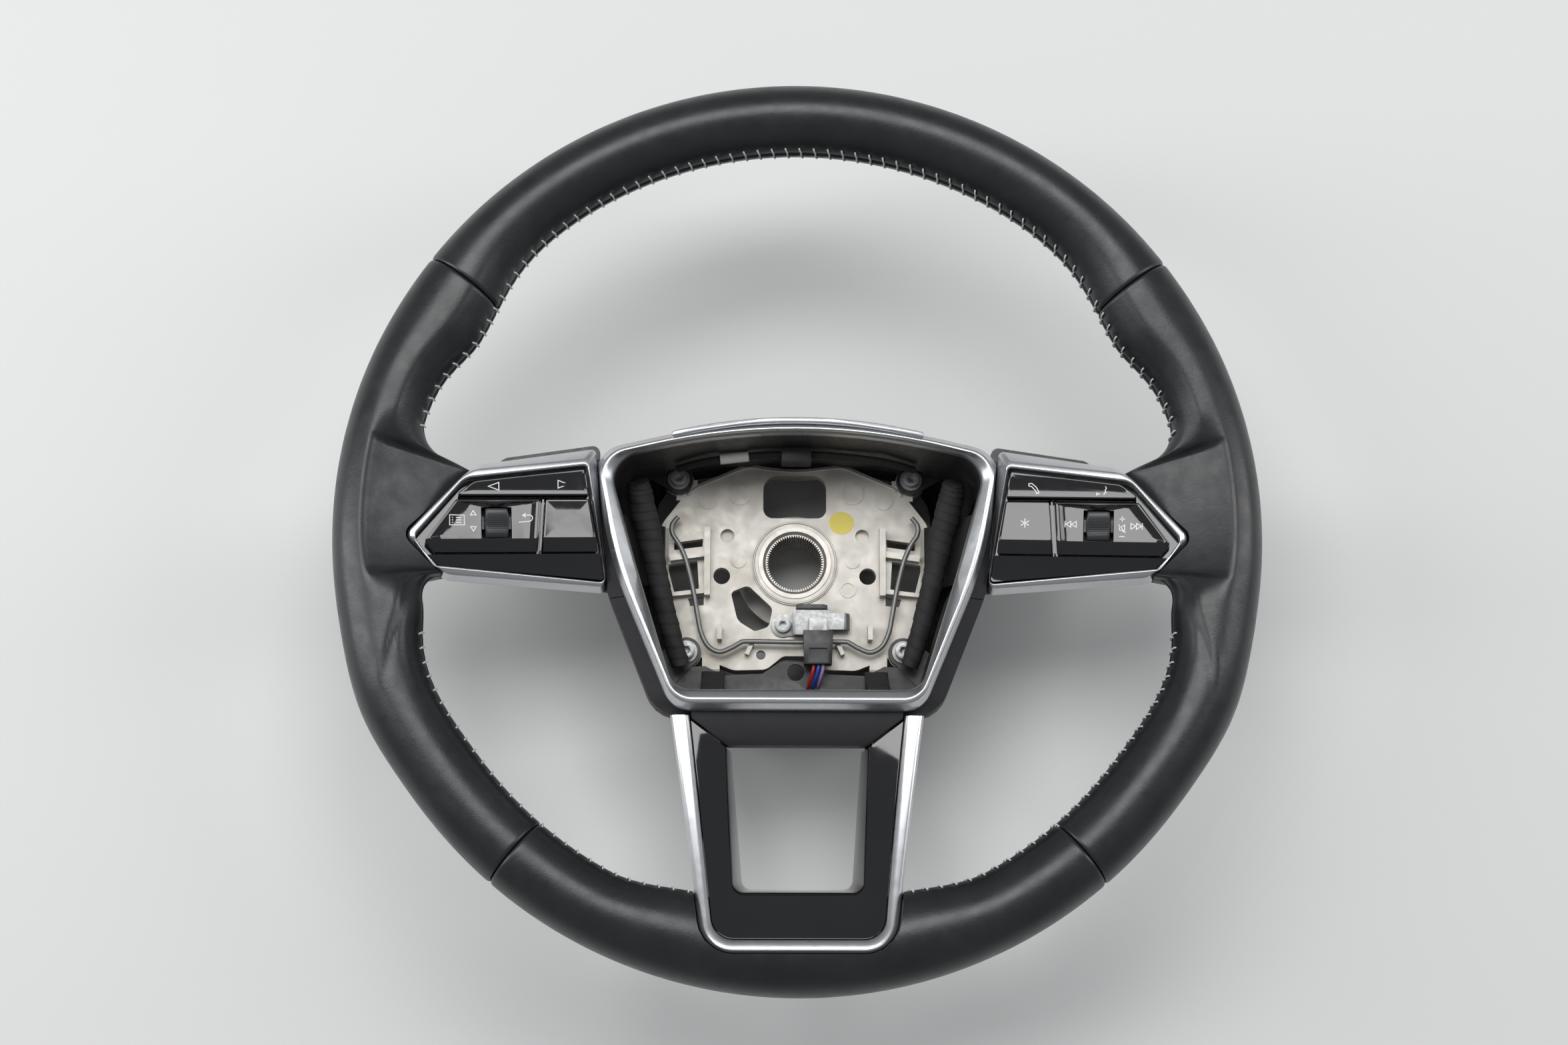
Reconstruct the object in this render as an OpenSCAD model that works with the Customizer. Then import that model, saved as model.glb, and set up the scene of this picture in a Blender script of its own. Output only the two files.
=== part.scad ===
// Three-spoke car steering wheel with a leather rim, key pods and an open hub.
// The origin is the middle of the column bore at the hub boss's rear face.
// +Z points to the driver, +Y to twelve o'clock and +X to three o'clock.

/* [Rim] */
// Diameter over the rim
rim_d = 370; // [350:1:390]
// Rim thickness seen by the driver, at twelve o'clock
rim_w_top = 28.5; // [27:0.5:31]
// Rim thickness seen by the driver, in the lower half
rim_w_low = 30; // [29:0.5:33]
// Rim thickness from front to back
rim_t = 33; // [30:0.5:36]
// How far the thumb grips above the spokes swell inward
grip_swell = 7; // [0:0.5:8]
// How far the rim swells inward just below the side spokes
low_swell = 3.5; // [0:0.5:5]
// How far the rim swells inward where the lower spoke joins it
foot_swell = 5; // [0:0.5:6]
// Outward kink at eight and four o'clock
rim_kink = 2; // [0:0.5:3]
// Height of the rim's middle above the boss's rear face
dish = 99; // [95:1:104]
// Offset of the rim's centre from the column axis, toward twelve o'clock
rim_dy = 2; // [0:0.5:4]
// Thickness of the leather
leather_t = 1.3; // [0.8:0.1:1.8]

/* [Hub] */
// Length of the steel hub boss
boss_h = 24; // [20:1:30]
// Outer diameter of the steel hub boss
boss_d = 31; // [29:0.5:33]
// Diameter of the plain pilot bore at the boss's rear
pilot_d = 25.2; // [24.6:0.1:26]
// Depth of the plain pilot bore
pilot_h = 10; // [6:1:14]
// Diameter over the tips of the bore's teeth
tooth_tip_d = 22.8; // [22:0.1:23.4]
// Height of each tooth
tooth_h = 0.9; // [0.6:0.1:1.2]
// Number of teeth round the bore
tooth_count = 72; // [60:1:90]
// Thickness of the cast hub plate
plate_t = 5; // [4:0.5:7]
// Diameter of the two through holes beside the boss
through_d = 7.2; // [6:0.1:8]
// Distance between the two through holes
through_span = 62.6; // [60:0.2:66]
// Diameter of the wire that catches the airbag
wire_d = 2; // [1.5:0.1:2.5]

/* [Trim] */
// Height of the hub bezel's crest above the boss's rear face
bezel_z = 88; // [85:1:91]
// Wall of the plastic shells
wall = 2.2; // [1.6:0.1:2.8]
// Gap between pieces that only lie beside each other
gap = 0.3; // [0.2:0.05:0.4]
// Height of the rear cover's resting edge below the boss's rear face
rest_drop = 8; // [5:1:12]

/* [Key pods] */
// Height of a pod's crest above the boss's rear face, at its middle
pod_z = 94; // [92:1:96]
// Slope of a pod, its outer end higher
pod_tilt = 10; // [9:0.5:11]
// Turn of a pod in the wheel's plane, its inner end higher
pod_yaw = 2.6; // [2:0.1:3]
// Gap round each key
key_gap = 0.6; // [0.5:0.05:0.8]
// Thickness of the keys
key_t = 5.5; // [5:0.5:6.5]
// Diameter of the rollers
roller_d = 12.4; // [11.6:0.2:12.8]
// Width of the rollers
roller_w = 9.2; // [8.4:0.2:9.4]
// Number of ribs on each roller
roller_ribs = 30; // [20:1:36]
// Diameter of the rollers' stub axles
axle_d = 2; // [1.6:0.1:2.4]
// Radial running clearance of axles and pins
running = 0.05; // [0.02:0.01:0.08]

/* [Shift paddles] */
// Thickness of the paddle blades
paddle_t = 3; // [2:0.5:4]
// Diameter of the paddle hinge pins
pin_d = 3; // [2.5:0.1:3.5]

/* [Hidden] */
eps = 0.01;

// Stations round the rim in degrees; the leather is cut where the seams run
SEAM_UP = 36;
SEAM_LOW = 50;
TOP_STATIONS = [for (i = [0:16]) mix(SEAM_UP, 180 - SEAM_UP, i / 16)];
LEFT_STATIONS = [144, 147, 150, 153, 156, 159, 162, 164.2, 165.6, 166.8, 168, 168.9, 169.8, 174, 180,
    184, 187.2, 188.1, 189.2, 190.3, 191.3, 192.3, 195, 198, 202, 206, 211, 217, 223, 230];
BOTTOM_STATIONS = [for (i = [0:12]) mix(180 + SEAM_LOW, 360 - SEAM_LOW, i / 12)];
RIGHT_STATIONS = [for (i = [len(LEFT_STATIONS) - 1:-1:0]) 540 - LEFT_STATIONS[i]];
SECTION_POINTS = 14;
FOAM_POINTS = 10;
foam_gap = 1.1;

// Thread: angle from stitch to stitch, and where its runs begin and end
stitch_pitch = 2.1;
stitch_lead = 22;
stitch_low = 16;
stitch_lift = 0.3;

// Where the leather runs onto the side spokes: edges of the spoke, fillets and inner end
root_top = 27.1;
root_top_fillet = 12;
root_low = 19.5;
root_low_fillet = 10;
root_inner_r = 131.5;
root_drop = 20;

// The rim's core
core_inset = 16;
core_r = rim_d / 2 - core_inset;
core_w = 12;
core_h = 10;
core_z = dish - 4;
core_wall = 3.4;
core_floor = 4;

// Hub levels
flange_t = 0.9;
plate_top = boss_h + 4;
plate_low = plate_top - plate_t;
ear_top = plate_top + 3.5;
screw_x_top = 50;
screw_y_top = 36;
screw_x_low = 46;
screw_y_low = -39;
SCREWS = [[-screw_x_top, screw_y_top], [screw_x_top, screw_y_top],
    [-screw_x_low, screw_y_low], [screw_x_low, screw_y_low]];
screw_d = 5;
washer_d = 9.4;
washer_t = 1;
wire_z = plate_top + 5.4;
stop_h = wire_z - wire_d / 2 - plate_top - gap;
collar_r = boss_d / 2 + 2.9;
collar_foot_r = 25;
collar_foot_z = 3;
collar_foot_h = 4;
rail_h = 6;
web_h = 4;
mark_h = 0.4;
CAST_RINGS = [[-23.6, 30.5, 5], [24.8, 30.8, 5], [22.8, -11.3, 3.6]];
CAST_PADS = [[-24, 1.1, 3.2], [24.8, 1, 3.2], [-37.4, 27.6, 4], [38.2, 27.6, 4]];
frame_gap = 0.3;
frame_wall = 1.6;
rear_mid_z = plate_low + 3;
split_flank_y = -24;
split_flank_z = bezel_z - 34;

// Corners of the outlines as x, y, radius, anticlockwise
BEZEL_IN = [[49.6, -62.2, 9], [65.2, -12, 300], [77.5, 32.3, 11], [0, 50.5, 260],
    [-77.5, 32.3, 11], [-65.2, -12, 300], [-49.6, -62.2, 9]];
BEZEL_CREST = [[49.6, -67.8, 11.5], [73, -12, 170], [82, 33.6, 12], [0, 53.4, 262],
    [-82, 33.6, 12], [-73, -12, 170], [-49.6, -67.8, 11.5]];
BEZEL_OUT = [[50.4, -70.4, 12], [75, -12, 160], [84.6, 35.5, 13], [0, 55.9, 265],
    [-84.6, 35.5, 13], [-75, -12, 160], [-50.4, -70.4, 12]];
FLANK = [[57.5, -71.6, 14], [78.5, -19, 60], [86, 37, 15], [0, 57, 265],
    [-86, 37, 15], [-78.5, -19, 60], [-57.5, -71.6, 14]];
REAR_MID = [[55, -68.8, 14], [72, -12, 160], [82, 37.5, 16], [0, 58, 190],
    [-82, 37.5, 16], [-72, -12, 160], [-55, -68.8, 14]];
REAR_RIM = [[52, -52, 14], [58, -8, 160], [66, 42, 20], [0, 56.5, 180],
    [-66, 42, 20], [-58, -8, 160], [-52, -52, 14]];
PLATE = [[12, -46, 6], [26, -46.4, 8], [42, -40, 10], [54.6, -34, 8], [59.4, -6, 16], [58, 16, 14],
    [45, 33, 12], [21, 43.6, 16], [0, 40.8, 60], [-21, 43.6, 16], [-45, 33, 12], [-58, 16, 14],
    [-59.4, -6, 16], [-54.6, -34, 8], [-42, -40, 10], [-26, -46.4, 8], [-12, -46, 6], [-5, -40.2, 4],
    [5, -40.2, 4]];

// A pod's outlines in its own frame, whose origin is at its middle
pod_x = -118;
POD_IN = [[-14.8, 21.6, 8], [-35.3, -1.8, 2.5], [-27.2, -12.6, 4], [41.1, -19.3, 1.5], [34.2, 27, 1.5]];
POD_CREST = [[-13.8, 24.8, 13], [-39.4, -1.4, 4], [-22.5, -16.2, 8], [41.4, -21.6, 2],
    [35.1, 29.5, 2]];
POD_OUT = [[-10.2, 28.3, 14], [-40.2, -1.4, 4.5], [-23, -18, 9], [42.4, -23.7, 2], [38.8, 35.3, 2]];
POD_FOOT = [[-10.4, 27.6, 13], [-39.4, -1.2, 4.5], [-24.4, -16.4, 7], [42, -20.6, 2], [38, 33.4, 2]];
key_top = -0.9;
key_low = key_top - key_t;
hinge_z = key_low;
rocker_x = 10;
roller_x = -2.5;
roller_y = 3.5;
roller_z = -3.6;
bezel_low = -14;
deck_z = key_low - 1.7;
front_y = -3.3;
skirt_y = -8;
split_y = 13.2;
ear_w = 0.9;
pivot_r = 1;
pivot_wall = 0.9;
slot_w = roller_w + 2 * (gap + ear_w + gap);
slot_l = roller_d + 2 * gap + 0.2;
TROUGH_TOP = [[-8, 26.4, 5], [-8, -17, 5], [46, -22.4, 2], [46, 33.4, 2]];
TROUGH_LOW = [[-7, 19, 5], [-7, -12, 5], [48, -16, 3], [48, 24, 3]];

// Key outlines, each a gap inside the frame or its neighbour
ROCKER = [[-19.5, split_y + 1.4, 1], [35, split_y + 1.4, 0.8], [33.4, 25.6, 1], [-11.2, 20.6, 6]];
FRAME_KEY = [[-31, front_y, 1], [-27.4, skirt_y, 1], [13.9, skirt_y, 0.8], [15.4, split_y, 0.8],
    [-18.6, split_y, 1.4]];
SINGLE_KEY = [[15.7, skirt_y, 0.8], [38.2, skirt_y, 0.8], [35, split_y, 0.8], [17.4, split_y, 0.8]];
// Where each rocking key's pivots begin along Y, and how long they are
ROCKER_PIVOTS = [[split_y + 2.4, 8]];
FRAME_PIVOTS = [[skirt_y + 0.6, 1.8], [split_y - 2, 1.8]];

// Hinge of the shift paddles: barrel along Y, between two ears of the rear cover
hinge_x = -85.6;
hinge_y0 = -8;
hinge_y1 = 16;
paddle_z = 46.5;
barrel_r = pin_d / 2 + 1.7;
ear_r = pin_d / 2 + 1.9;
ear_l = 3;

// The lower spoke's outlines
u_start = -66;
u_foot = 18.7 - rim_d / 2;
u_length = u_start - u_foot - 0.3;
U_OUT = [[51.9, u_start], [36.7, u_foot, 14]];
U_IN = [[44, u_start], [32.7, u_foot + 5, 9]];
U_INNER_CREST = [[45.6, u_start], [34, u_foot + 3.5, 10]];
WINDOW_TOP = [[28.4, -84.6], [25.2, u_foot + 23.3, 4]];
WINDOW = [[26.4, -84.8], [21.6, u_foot + 25.3, 4]];
u_rise = 33;
u_pocket_z = 95;

// Cord and wire routes
WIRE_HALF = [[0, -35], [20, -34.8], [23.5, -35.6], [27, -37.6], [32, -39.3], [36.8, -36.8],
    [39.8, -31], [41.3, -24], [43.5, -12], [46.5, 0], [49.5, 7], [52.3, 11.5], [52.6, 15.5],
    [50, 19]];
LOOM = [[-66, 29, 58], [-65.6, 25, 55], [-64, 17, 51], [-61.6, 8, 48], [-59.4, -3, 46],
    [-57, -14, 45], [-54, -26, 43], [-51, -37, 41], [-48, -46, 39]];
TOP_LOOM = [[-50, 36.2, 50], [-42, 37.6, 54], [-32, 39, 56], [-20, 40.4, 56], [-8, 41.2, 56],
    [8, 41.2, 56], [20, 40.4, 56], [32, 39, 56], [42, 37.6, 54], [50, 36.2, 50]];
LOOM_R = [4.2, 5.2, 5.6, 5.2, 4.6, 4.4, 4.2, 4, 3.6];
lead_r = 0.75;
lead_pitch = 2.1;
LEADS = [[10, -45, 38], [9.6, -48, 38], [8.8, -51, 36.5], [8, -53.5, 33.5], [7.6, -55, 30.6]];

function unit(v) = v / norm(v);
function mix(a, b, t) = a + (b - a) * t;
function clamp01(x) = max(0, min(1, x));
function smooth(x) = let (t = clamp01(x)) t * t * (3 - 2 * t);
function bump(x, middle, width) = exp(-pow((x - middle) / width, 2));
function flat(q) = [q[0], q[1]];
function at_z(outline, z) = [for (p = outline) [p[0], p[1], z]];

// An outline with a true arc of n steps at each corner; a straight corner gets points in line
function corner_arc(p, q, s, n) =
    let (
        u = unit(flat(p) - flat(q)),
        v = unit(flat(s) - flat(q)),
        half = acos(max(-1, min(1, u * v))) / 2
    )
    half > 89.9 ? [for (k = [0:n]) flat(q) + u * (0.5 - k / n)]
        : let (
            centre = flat(q) + unit(u + v) * q[2] / sin(half),
            from = flat(q) + u * q[2] / tan(half) - centre,
            to = flat(q) + v * q[2] / tan(half) - centre
        )
        [for (k = [0:n]) centre + q[2] * unit(from * (1 - k / n) + to * k / n)];
function neighbour(c, i, step) = c[(i + step + len(c)) % len(c)];
function rounded(c, n = 5) =
    [for (i = [0:len(c) - 1]) each corner_arc(neighbour(c, i, -1), c[i], neighbour(c, i, 1), n)];

// The same corners moved outward by d
function grown_corner(p, q, s, d) =
    let (
        u = unit(flat(p) - flat(q)),
        v = unit(flat(s) - flat(q)),
        half = acos(max(-1, min(1, u * v))) / 2,
        turn = sign(v[0] * u[1] - v[1] * u[0]),
        out = flat(q) - unit(u + v) * turn * d / sin(half)
    )
    [out[0], out[1], max(0.2, q[2] + turn * d)];
function grown(c, d) =
    [for (i = [0:len(c) - 1]) grown_corner(neighbour(c, i, -1), c[i], neighbour(c, i, 1), d)];

// Shape of the rim at an angle round the wheel, mirrored to the left side
function side_angle(a) = let (m = (a % 360 + 360) % 360) (m > 90 && m < 270) ? m : (540 - m) % 360;
function rim_r(s) = rim_d / 2 + rim_kink * bump(s, 204, 8);
function rim_w(s) = mix(rim_w_low, rim_w_top, smooth((sin(s) + 0.5) / 1.3))
    + grip_swell * bump(s, 149.5, s < 149.5 ? 11 : 7) + low_swell * bump(s, 192, 5)
    + foot_swell * smooth((s - 242) / 14);

// Inner edge of the rim, with a fillet onto the spoke at tilt d above or below three o'clock's line
function fillet_r(d, h, f, r) =
    let (x = sqrt(pow(r - f, 2) - pow(h + f, 2)), along = x * cos(d) + (h + f) * sin(d))
    d > atan2(h + f, x) ? r
        : d < atan2(h, x)
            ? mix(x / cos(atan2(h, x)), root_inner_r, smooth((atan2(h, x) - d) / 0.9))
            : along + sqrt(max(0, f * f - (x * x + pow(h + f, 2) - along * along)));
function inner_r(s) = s < 180
    ? fillet_r(180 - s, root_top, root_top_fillet, rim_r(s) - rim_w(s))
    : fillet_r(s - 180, root_low, root_low_fillet, rim_r(s) - rim_w(s));

// A point of the rim's surface, inset by o, at angle a round the wheel and t round the section
function rim_point(a, t, o) =
    let (
        s = side_angle(a),
        half_w = rim_w(s) / 2,
        middle_r = rim_r(s) - half_w,
        inward = cos(t) < 0,
        k = clamp01((middle_r - inner_r(s) - half_w) / 24),
        reach = inward ? middle_r - inner_r(s) - o : half_w - o,
        c = cos(t),
        h = inward ? sign(sin(t)) * pow(abs(sin(t)), mix(1, 0.65, k)) : sin(t),
        in = inward ? -c : 0,
        r = middle_r + reach * c,
        z = dish - k * root_drop * pow(in, 0.7) + (rim_t / 2 - o) * (1 - 0.45 * k * in) * h
    )
    [r * cos(a), r * sin(a) + rim_dy, z];
function rim_section(a, o, n = SECTION_POINTS) = [for (k = [0:n - 1]) rim_point(a, 360 * k / n, o)];

// Crest height of the lower spoke's trim at a distance along the spoke
function u_crest(y) = bezel_z - 8 + u_rise * pow(clamp01((u_start - y) / u_length), 1.6);
// The front of a pod falls away below its key line
function pod_fall(y) = y > front_y + 1 ? 0 : (y - front_y - 1) * 0.55;

// Two triangles per cell of a grid of points, with cols points in each loop
function cell(j, i, next_j, cols) =
    let (i2 = (i + 1) % cols)
    [[j * cols + i, next_j * cols + i, next_j * cols + i2],
     [j * cols + i, next_j * cols + i2, j * cols + i2]];

// A solid hoop: each loop is joined to the next and the last to the first
module hoop(loops) {
    rows = len(loops);
    cols = len(loops[0]);
    polyhedron(points = [for (l = loops) each l],
        faces = [for (j = [0:rows - 1], i = [0:cols - 1]) each cell(j, i, (j + 1) % rows, cols)]);
}

function mean(l) = [for (k = [0:2]) sum([for (p = l) p[k]]) / len(l)];
function sum(v, i = 0) = i < len(v) ? v[i] + sum(v, i + 1) : 0;

// A solid from a stack of loops, closed at both ends round the loops' centres
module lofted(loops) {
    rows = len(loops);
    cols = len(loops[0]);
    low = rows * cols;
    high = low + 1;
    polyhedron(points = concat([for (l = loops) each l], [mean(loops[0]), mean(loops[rows - 1])]),
        faces = concat(
            [for (j = [0:rows - 2], i = [0:cols - 1]) each cell(j, i, j + 1, cols)],
            [for (i = [0:cols - 1]) [low, i, (i + 1) % cols]],
            [for (i = [0:cols - 1]) [high, (rows - 1) * cols + (i + 1) % cols, (rows - 1) * cols + i]]));
}

// A round bar swept along a route of points
function across(d) = unit(cross(d, abs(d[2]) > 0.9 * norm(d) ? [1, 0, 0] : [0, 0, 1]));
function heading(p, i) = unit(p[min(i + 1, len(p) - 1)] - p[max(i - 1, 0)]);
function around(c, d, r, n) =
    let (u = across(d), v = cross(unit(d), u))
    [for (k = [0:n - 1]) c + r * (u * cos(360 * k / n) - v * sin(360 * k / n))];
module swept(route, r, sides = 8) {
    lofted([for (i = [0:len(route) - 1]) around(route[i], heading(route, i), r[min(i, len(r) - 1)],
        sides)]);
}

module plate_shape(corners, z, h) {
    translate([0, 0, z])
        linear_extrude(h)
            polygon(rounded(corners));
}

module slab(corners, z, h) {
    translate([0, 0, z])
        linear_extrude(h)
            polygon(corners);
}

module mirrored() {
    children();
    mirror([1, 0, 0])
        children();
}

// A prism whose YZ outline is given, lying along X
module side_prism(profile, x0, x1) {
    translate([x0, 0, 0])
        rotate([90, 0, 90])
            linear_extrude(x1 - x0)
                polygon(profile);
}

// A prism whose XZ outline is given, lying along Y
module front_prism(profile, y0, y1) {
    translate([0, y1, 0])
        rotate([90, 0, 0])
            linear_extrude(y1 - y0)
                polygon(profile);
}

// Pod frame on the left; the right pod is its mirror image
module in_pod(side) {
    if (side < 0)
        translate([pod_x, 0, pod_z])
            rotate([0, pod_tilt, 0])
                rotate([0, 0, pod_yaw])
                    children();
    else
        mirror([1, 0, 0])
            in_pod(-1)
                children();
}

// The metal core is one casting; it is given as hub plate, collar, rails, arms and rim core
module spoke_arm(g = 0) {
    front_prism([[-54, plate_low - g], [-62, plate_low + 6 - g], [-80, 58.5 - g], [-128, 67 - g],
        [-152, 75 - g], [-core_r, core_z - 1], [-core_r, core_z + 2], [-162.4 + g, core_z + 4],
        [-161.8 + g, 87 + g], [-150, 81.6 + g], [-126, 75 + g], [-77, 64.5 + g], [-66, 40 + g],
        [-54, plate_top + g]], -11 - g, 15 + g);
}

module lower_arm(g = 0) {
    translate([34.4, -110, 0])
        rotate([0, 0, -1.5])
            side_prism([[70, plate_low - g], [60, plate_low - g], [48, 40 - g], [30, 60 - g],
                [-38, 82 - g], [-core_r + 112, core_z - 4 - g], [-core_r + 112, core_z + 3 + g],
                [-36, 89 + g], [32, 67 + g], [54, 46 + g], [64, plate_top + g], [70, plate_top + g]],
                -4.2 - g, 3.2 + g);
}

module core_ring(g = 0) {
    translate([0, rim_dy, core_z])
        rotate_extrude($fn = 120)
            translate([core_r - core_w / 2 - g, -core_h / 2 - g])
                square([core_w + 2 * g, core_h + 2 * g]);
}

module latch_windows() {
    slab([[39.4, 10.6], [52, 8.8], [51.7, 5.6], [39.6, 7.2]], plate_low - eps, plate_t + 9);
    slab([[41.8, 0.9], [54.7, -0.8], [51.5, -13.2], [41, -11.1]], plate_low - eps, plate_t + 9);
    slab([[38.9, -14.4], [45.6, -15.6], [44.6, -18.8], [38.9, -18.4]], plate_low - eps, plate_t + 9);
}

module armature() {
    color("#c9c5bb")
        difference() {
            union() {
                plate_shape(PLATE, plate_low, plate_t);
                // Stiffening flange round the back of the plate
                difference() {
                    plate_shape(PLATE, plate_low - 7, 7 + eps);
                    plate_shape(grown(PLATE, -2.4), plate_low - 8, 9);
                }
                for (a = [30, 90, 150, 210, 330])
                    rotate([0, 0, a])
                        translate([17, -1.2, plate_low - 7])
                            cube([20, 2.4, 7.5]);
                for (s = SCREWS)
                    translate([s[0], s[1], plate_low - 6])
                        cylinder(h = plate_t + 6, r = 6.4, $fn = 48);
                for (s = [-1, 1])
                    translate([s * screw_x_top * 0.93, screw_y_top - 4, plate_low])
                        cube([9, 9, plate_t * 2 - eps], center = true);
                // Raised marks of the casting, left bare
                for (m = CAST_RINGS)
                    translate([m[0], m[1], plate_top - eps])
                        difference() {
                            cylinder(h = mark_h, r = m[2], $fn = 32);
                            translate([0, 0, -1])
                                cylinder(h = 3, r = m[2] - 0.9, $fn = 32);
                        }
                for (m = CAST_PADS)
                    translate([m[0], m[1], plate_top - eps])
                        cylinder(h = mark_h, r = m[2], $fn = 32);
            }
            translate([0, 0, -1])
                cylinder(h = plate_top + 3, r = collar_r + eps, $fn = 96);
            slab(rounded([[13.6, 19.8, 4], [13.6, 38.6, 6], [-13.6, 38.6, 6], [-13.6, 19.8, 4]]),
                plate_low - 9, plate_t + 12);
            slab(rounded([[-20, -9.6, 3], [-27.4, -12.6, 2], [-24.4, -25, 5], [-17, -29.6, 2],
                [-11, -27.6, 3], [-9.4, -19.6, 3]]), plate_low - 9, plate_t + 12);
            mirrored()
                latch_windows();
            for (s = [-1, 1]) {
                translate([s * through_span / 2, -5.6, plate_low - 9])
                    cylinder(h = plate_t + 12, r = through_d / 2, $fn = 48);
                translate([s * 29, 12, plate_top - 3.4])
                    cylinder(h = 4, r = 3, $fn = 48);
            }
            translate([-14.4, -39.8, plate_low - 9])
                cylinder(h = plate_t + 12, r = 2, $fn = 32);
            for (s = SCREWS)
                translate([s[0], s[1], plate_low - 4])
                    cylinder(h = plate_t + 6, r = screw_d / 2 - gap / 2, $fn = 32);
        }
}

// The casting's tube round the steel boss
module hub_collar() {
    color("#c9c5bb")
        difference() {
            union() {
                translate([0, 0, flange_t + eps])
                    cylinder(h = plate_top + 1 - flange_t, r = collar_r, $fn = 96);
                translate([0, 0, collar_foot_z])
                    cylinder(h = collar_foot_h, r = collar_foot_r, $fn = 96);
            }
            translate([0, 0, -1])
                cylinder(h = plate_top + 3, r = boss_d / 2, $fn = 96);
        }
}

// Rails that guide the airbag's hooks, and stops for the spring wire
module latch_rails() {
    color("#c9c5bb")
        difference() {
            mirrored() {
                slab([[36.2, 14.6], [38.8, 14.6], [38.6, -14.8], [36.2, -14.8]], plate_top + eps, rail_h);
                slab([[37, 5], [53.6, 2.8], [53.2, 0.2], [37, 2.4]], plate_top + eps, web_h);
                slab([[37, -11.6], [53.6, -13.6], [53.2, -15.2], [37, -13.6]], plate_top + eps, web_h);
                translate([31, -34, plate_top + eps])
                    cube([2, 6.4, 7]);
                translate([19.6, -40.4, plate_top + eps])
                    rotate([0, 0, 24])
                        cube([1.8, 5.6, stop_h]);
            }
            mirrored()
                latch_windows();
        }
}

// The arms end against the plate's edge and against the rim core
module arm_room() {
    plate_shape(grown(PLATE, eps), plate_low - eps, plate_t + 2 * eps);
    core_ring(eps);
}

module side_arms() {
    color("#c9c5bb")
        difference() {
            mirrored()
                spoke_arm();
            arm_room();
        }
}

module lower_arms() {
    color("#c9c5bb")
        difference() {
            mirrored()
                lower_arm();
            arm_room();
        }
}

// Rim core, hollow at its back
module rim_core() {
    color("#c9c5bb")
        difference() {
            core_ring();
            translate([0, rim_dy, core_z - core_h / 2 - eps])
                rotate_extrude($fn = 120)
                    translate([core_r - core_w / 2 + core_wall, 0])
                        square([core_w - 2 * core_wall, core_h - core_floor]);
        }
}

// Steel boss with a toothed bore above a plain pilot bore
module tooth_bore() {
    root_r = tooth_tip_d / 2 + tooth_h;
    pitch = 360 / tooth_count;
    polygon([for (k = [0:tooth_count - 1])
        each [for (q = [[0, 0], [0.3, 0], [0.5, 1], [0.8, 1]])
            (root_r - tooth_h * q[1]) * [cos((k + q[0]) * pitch), sin((k + q[0]) * pitch)]]]);
}

module hub_boss() {
    color("#8f8d88")
        difference() {
            union() {
                cylinder(h = plate_top + 1.6, r = boss_d / 2 - 0.02, $fn = 96);
                cylinder(h = flange_t, r = boss_d / 2 + 3, $fn = 96);
            }
            translate([0, 0, pilot_h - eps])
                linear_extrude(plate_top + 2)
                    tooth_bore();
            translate([0, 0, -eps])
                cylinder(h = pilot_h + eps, r = pilot_d / 2, $fn = 96);
            translate([0, 0, plate_top + 0.2])
                cylinder(h = 1.4 + eps, r1 = tooth_tip_d / 2 + tooth_h + 0.15,
                    r2 = tooth_tip_d / 2 + tooth_h + 1.4, $fn = 96);
        }
}

// Pocket that the pods and the lower trim sit in
module pod_pocket() {
    in_pod(-1) {
        plate_shape(grown(POD_OUT, gap), bezel_low - gap, 40);
        intersection() {
            plate_shape(grown(POD_OUT, gap), bezel_low - 8, 9);
            side_prism([[-14, bezel_low - gap], [-27, bezel_low - 6.5], [-27, 0], [-14, 0]], -45, 45);
        }
    }
}

module u_pocket() {
    near = U_OUT[0][0] + gap;
    far = U_OUT[1][0] + gap;
    plate_shape([[near, u_start, 1], [far, u_foot - gap, 14], [-far, u_foot - gap, 14], [-near, u_start, 1]],
        u_pocket_z, 40);
}

module rim_cuts() {
    mirrored() {
        pod_pocket();
        spoke_arm(gap);
        lower_arm(gap);
    }
    u_pocket();
}

module rim_foam() {
    stations = concat([for (i = [0:len(TOP_STATIONS) - 2]) TOP_STATIONS[i]],
        [for (i = [0:len(LEFT_STATIONS) - 2]) LEFT_STATIONS[i]],
        [for (i = [0:len(BOTTOM_STATIONS) - 2]) BOTTOM_STATIONS[i]],
        [for (i = [0:len(RIGHT_STATIONS) - 2]) RIGHT_STATIONS[i]]);
    color("#3a3a3a")
        difference() {
            hoop([for (a = stations) rim_section(a, leather_t + foam_gap, FOAM_POINTS)]);
            core_ring(gap);
            rim_cuts();
        }
}

// One sewn piece of leather: a wrapped shell between two seams
module leather(stations) {
    n = SECTION_POINTS;
    last = len(stations) - 1;
    inset = (last + 1) * n;
    points = concat([for (a = stations) each rim_section(a, 0)],
        [for (a = stations) each rim_section(a, leather_t)]);
    outer = [for (j = [0:last - 1], k = [0:n - 1])
        let (p = j * n + k, q = j * n + (k + 1) % n) each [[p, q, q + n], [p, q + n, p + n]]];
    inner = [for (j = [0:last - 1], k = [0:n - 1])
        let (p = inset + j * n + k, q = inset + j * n + (k + 1) % n)
            each [[p, q + n, q], [p, p + n, q + n]]];
    ends = [for (k = [0:n - 1])
        let (k2 = (k + 1) % n, e = last * n)
            each [[k, inset + k, inset + k2], [k, inset + k2, k2],
                [e + k, inset + e + k2, inset + e + k], [e + k, e + k2, inset + e + k2]]];
    polyhedron(points = points, faces = concat(outer, inner, ends));
}

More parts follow.
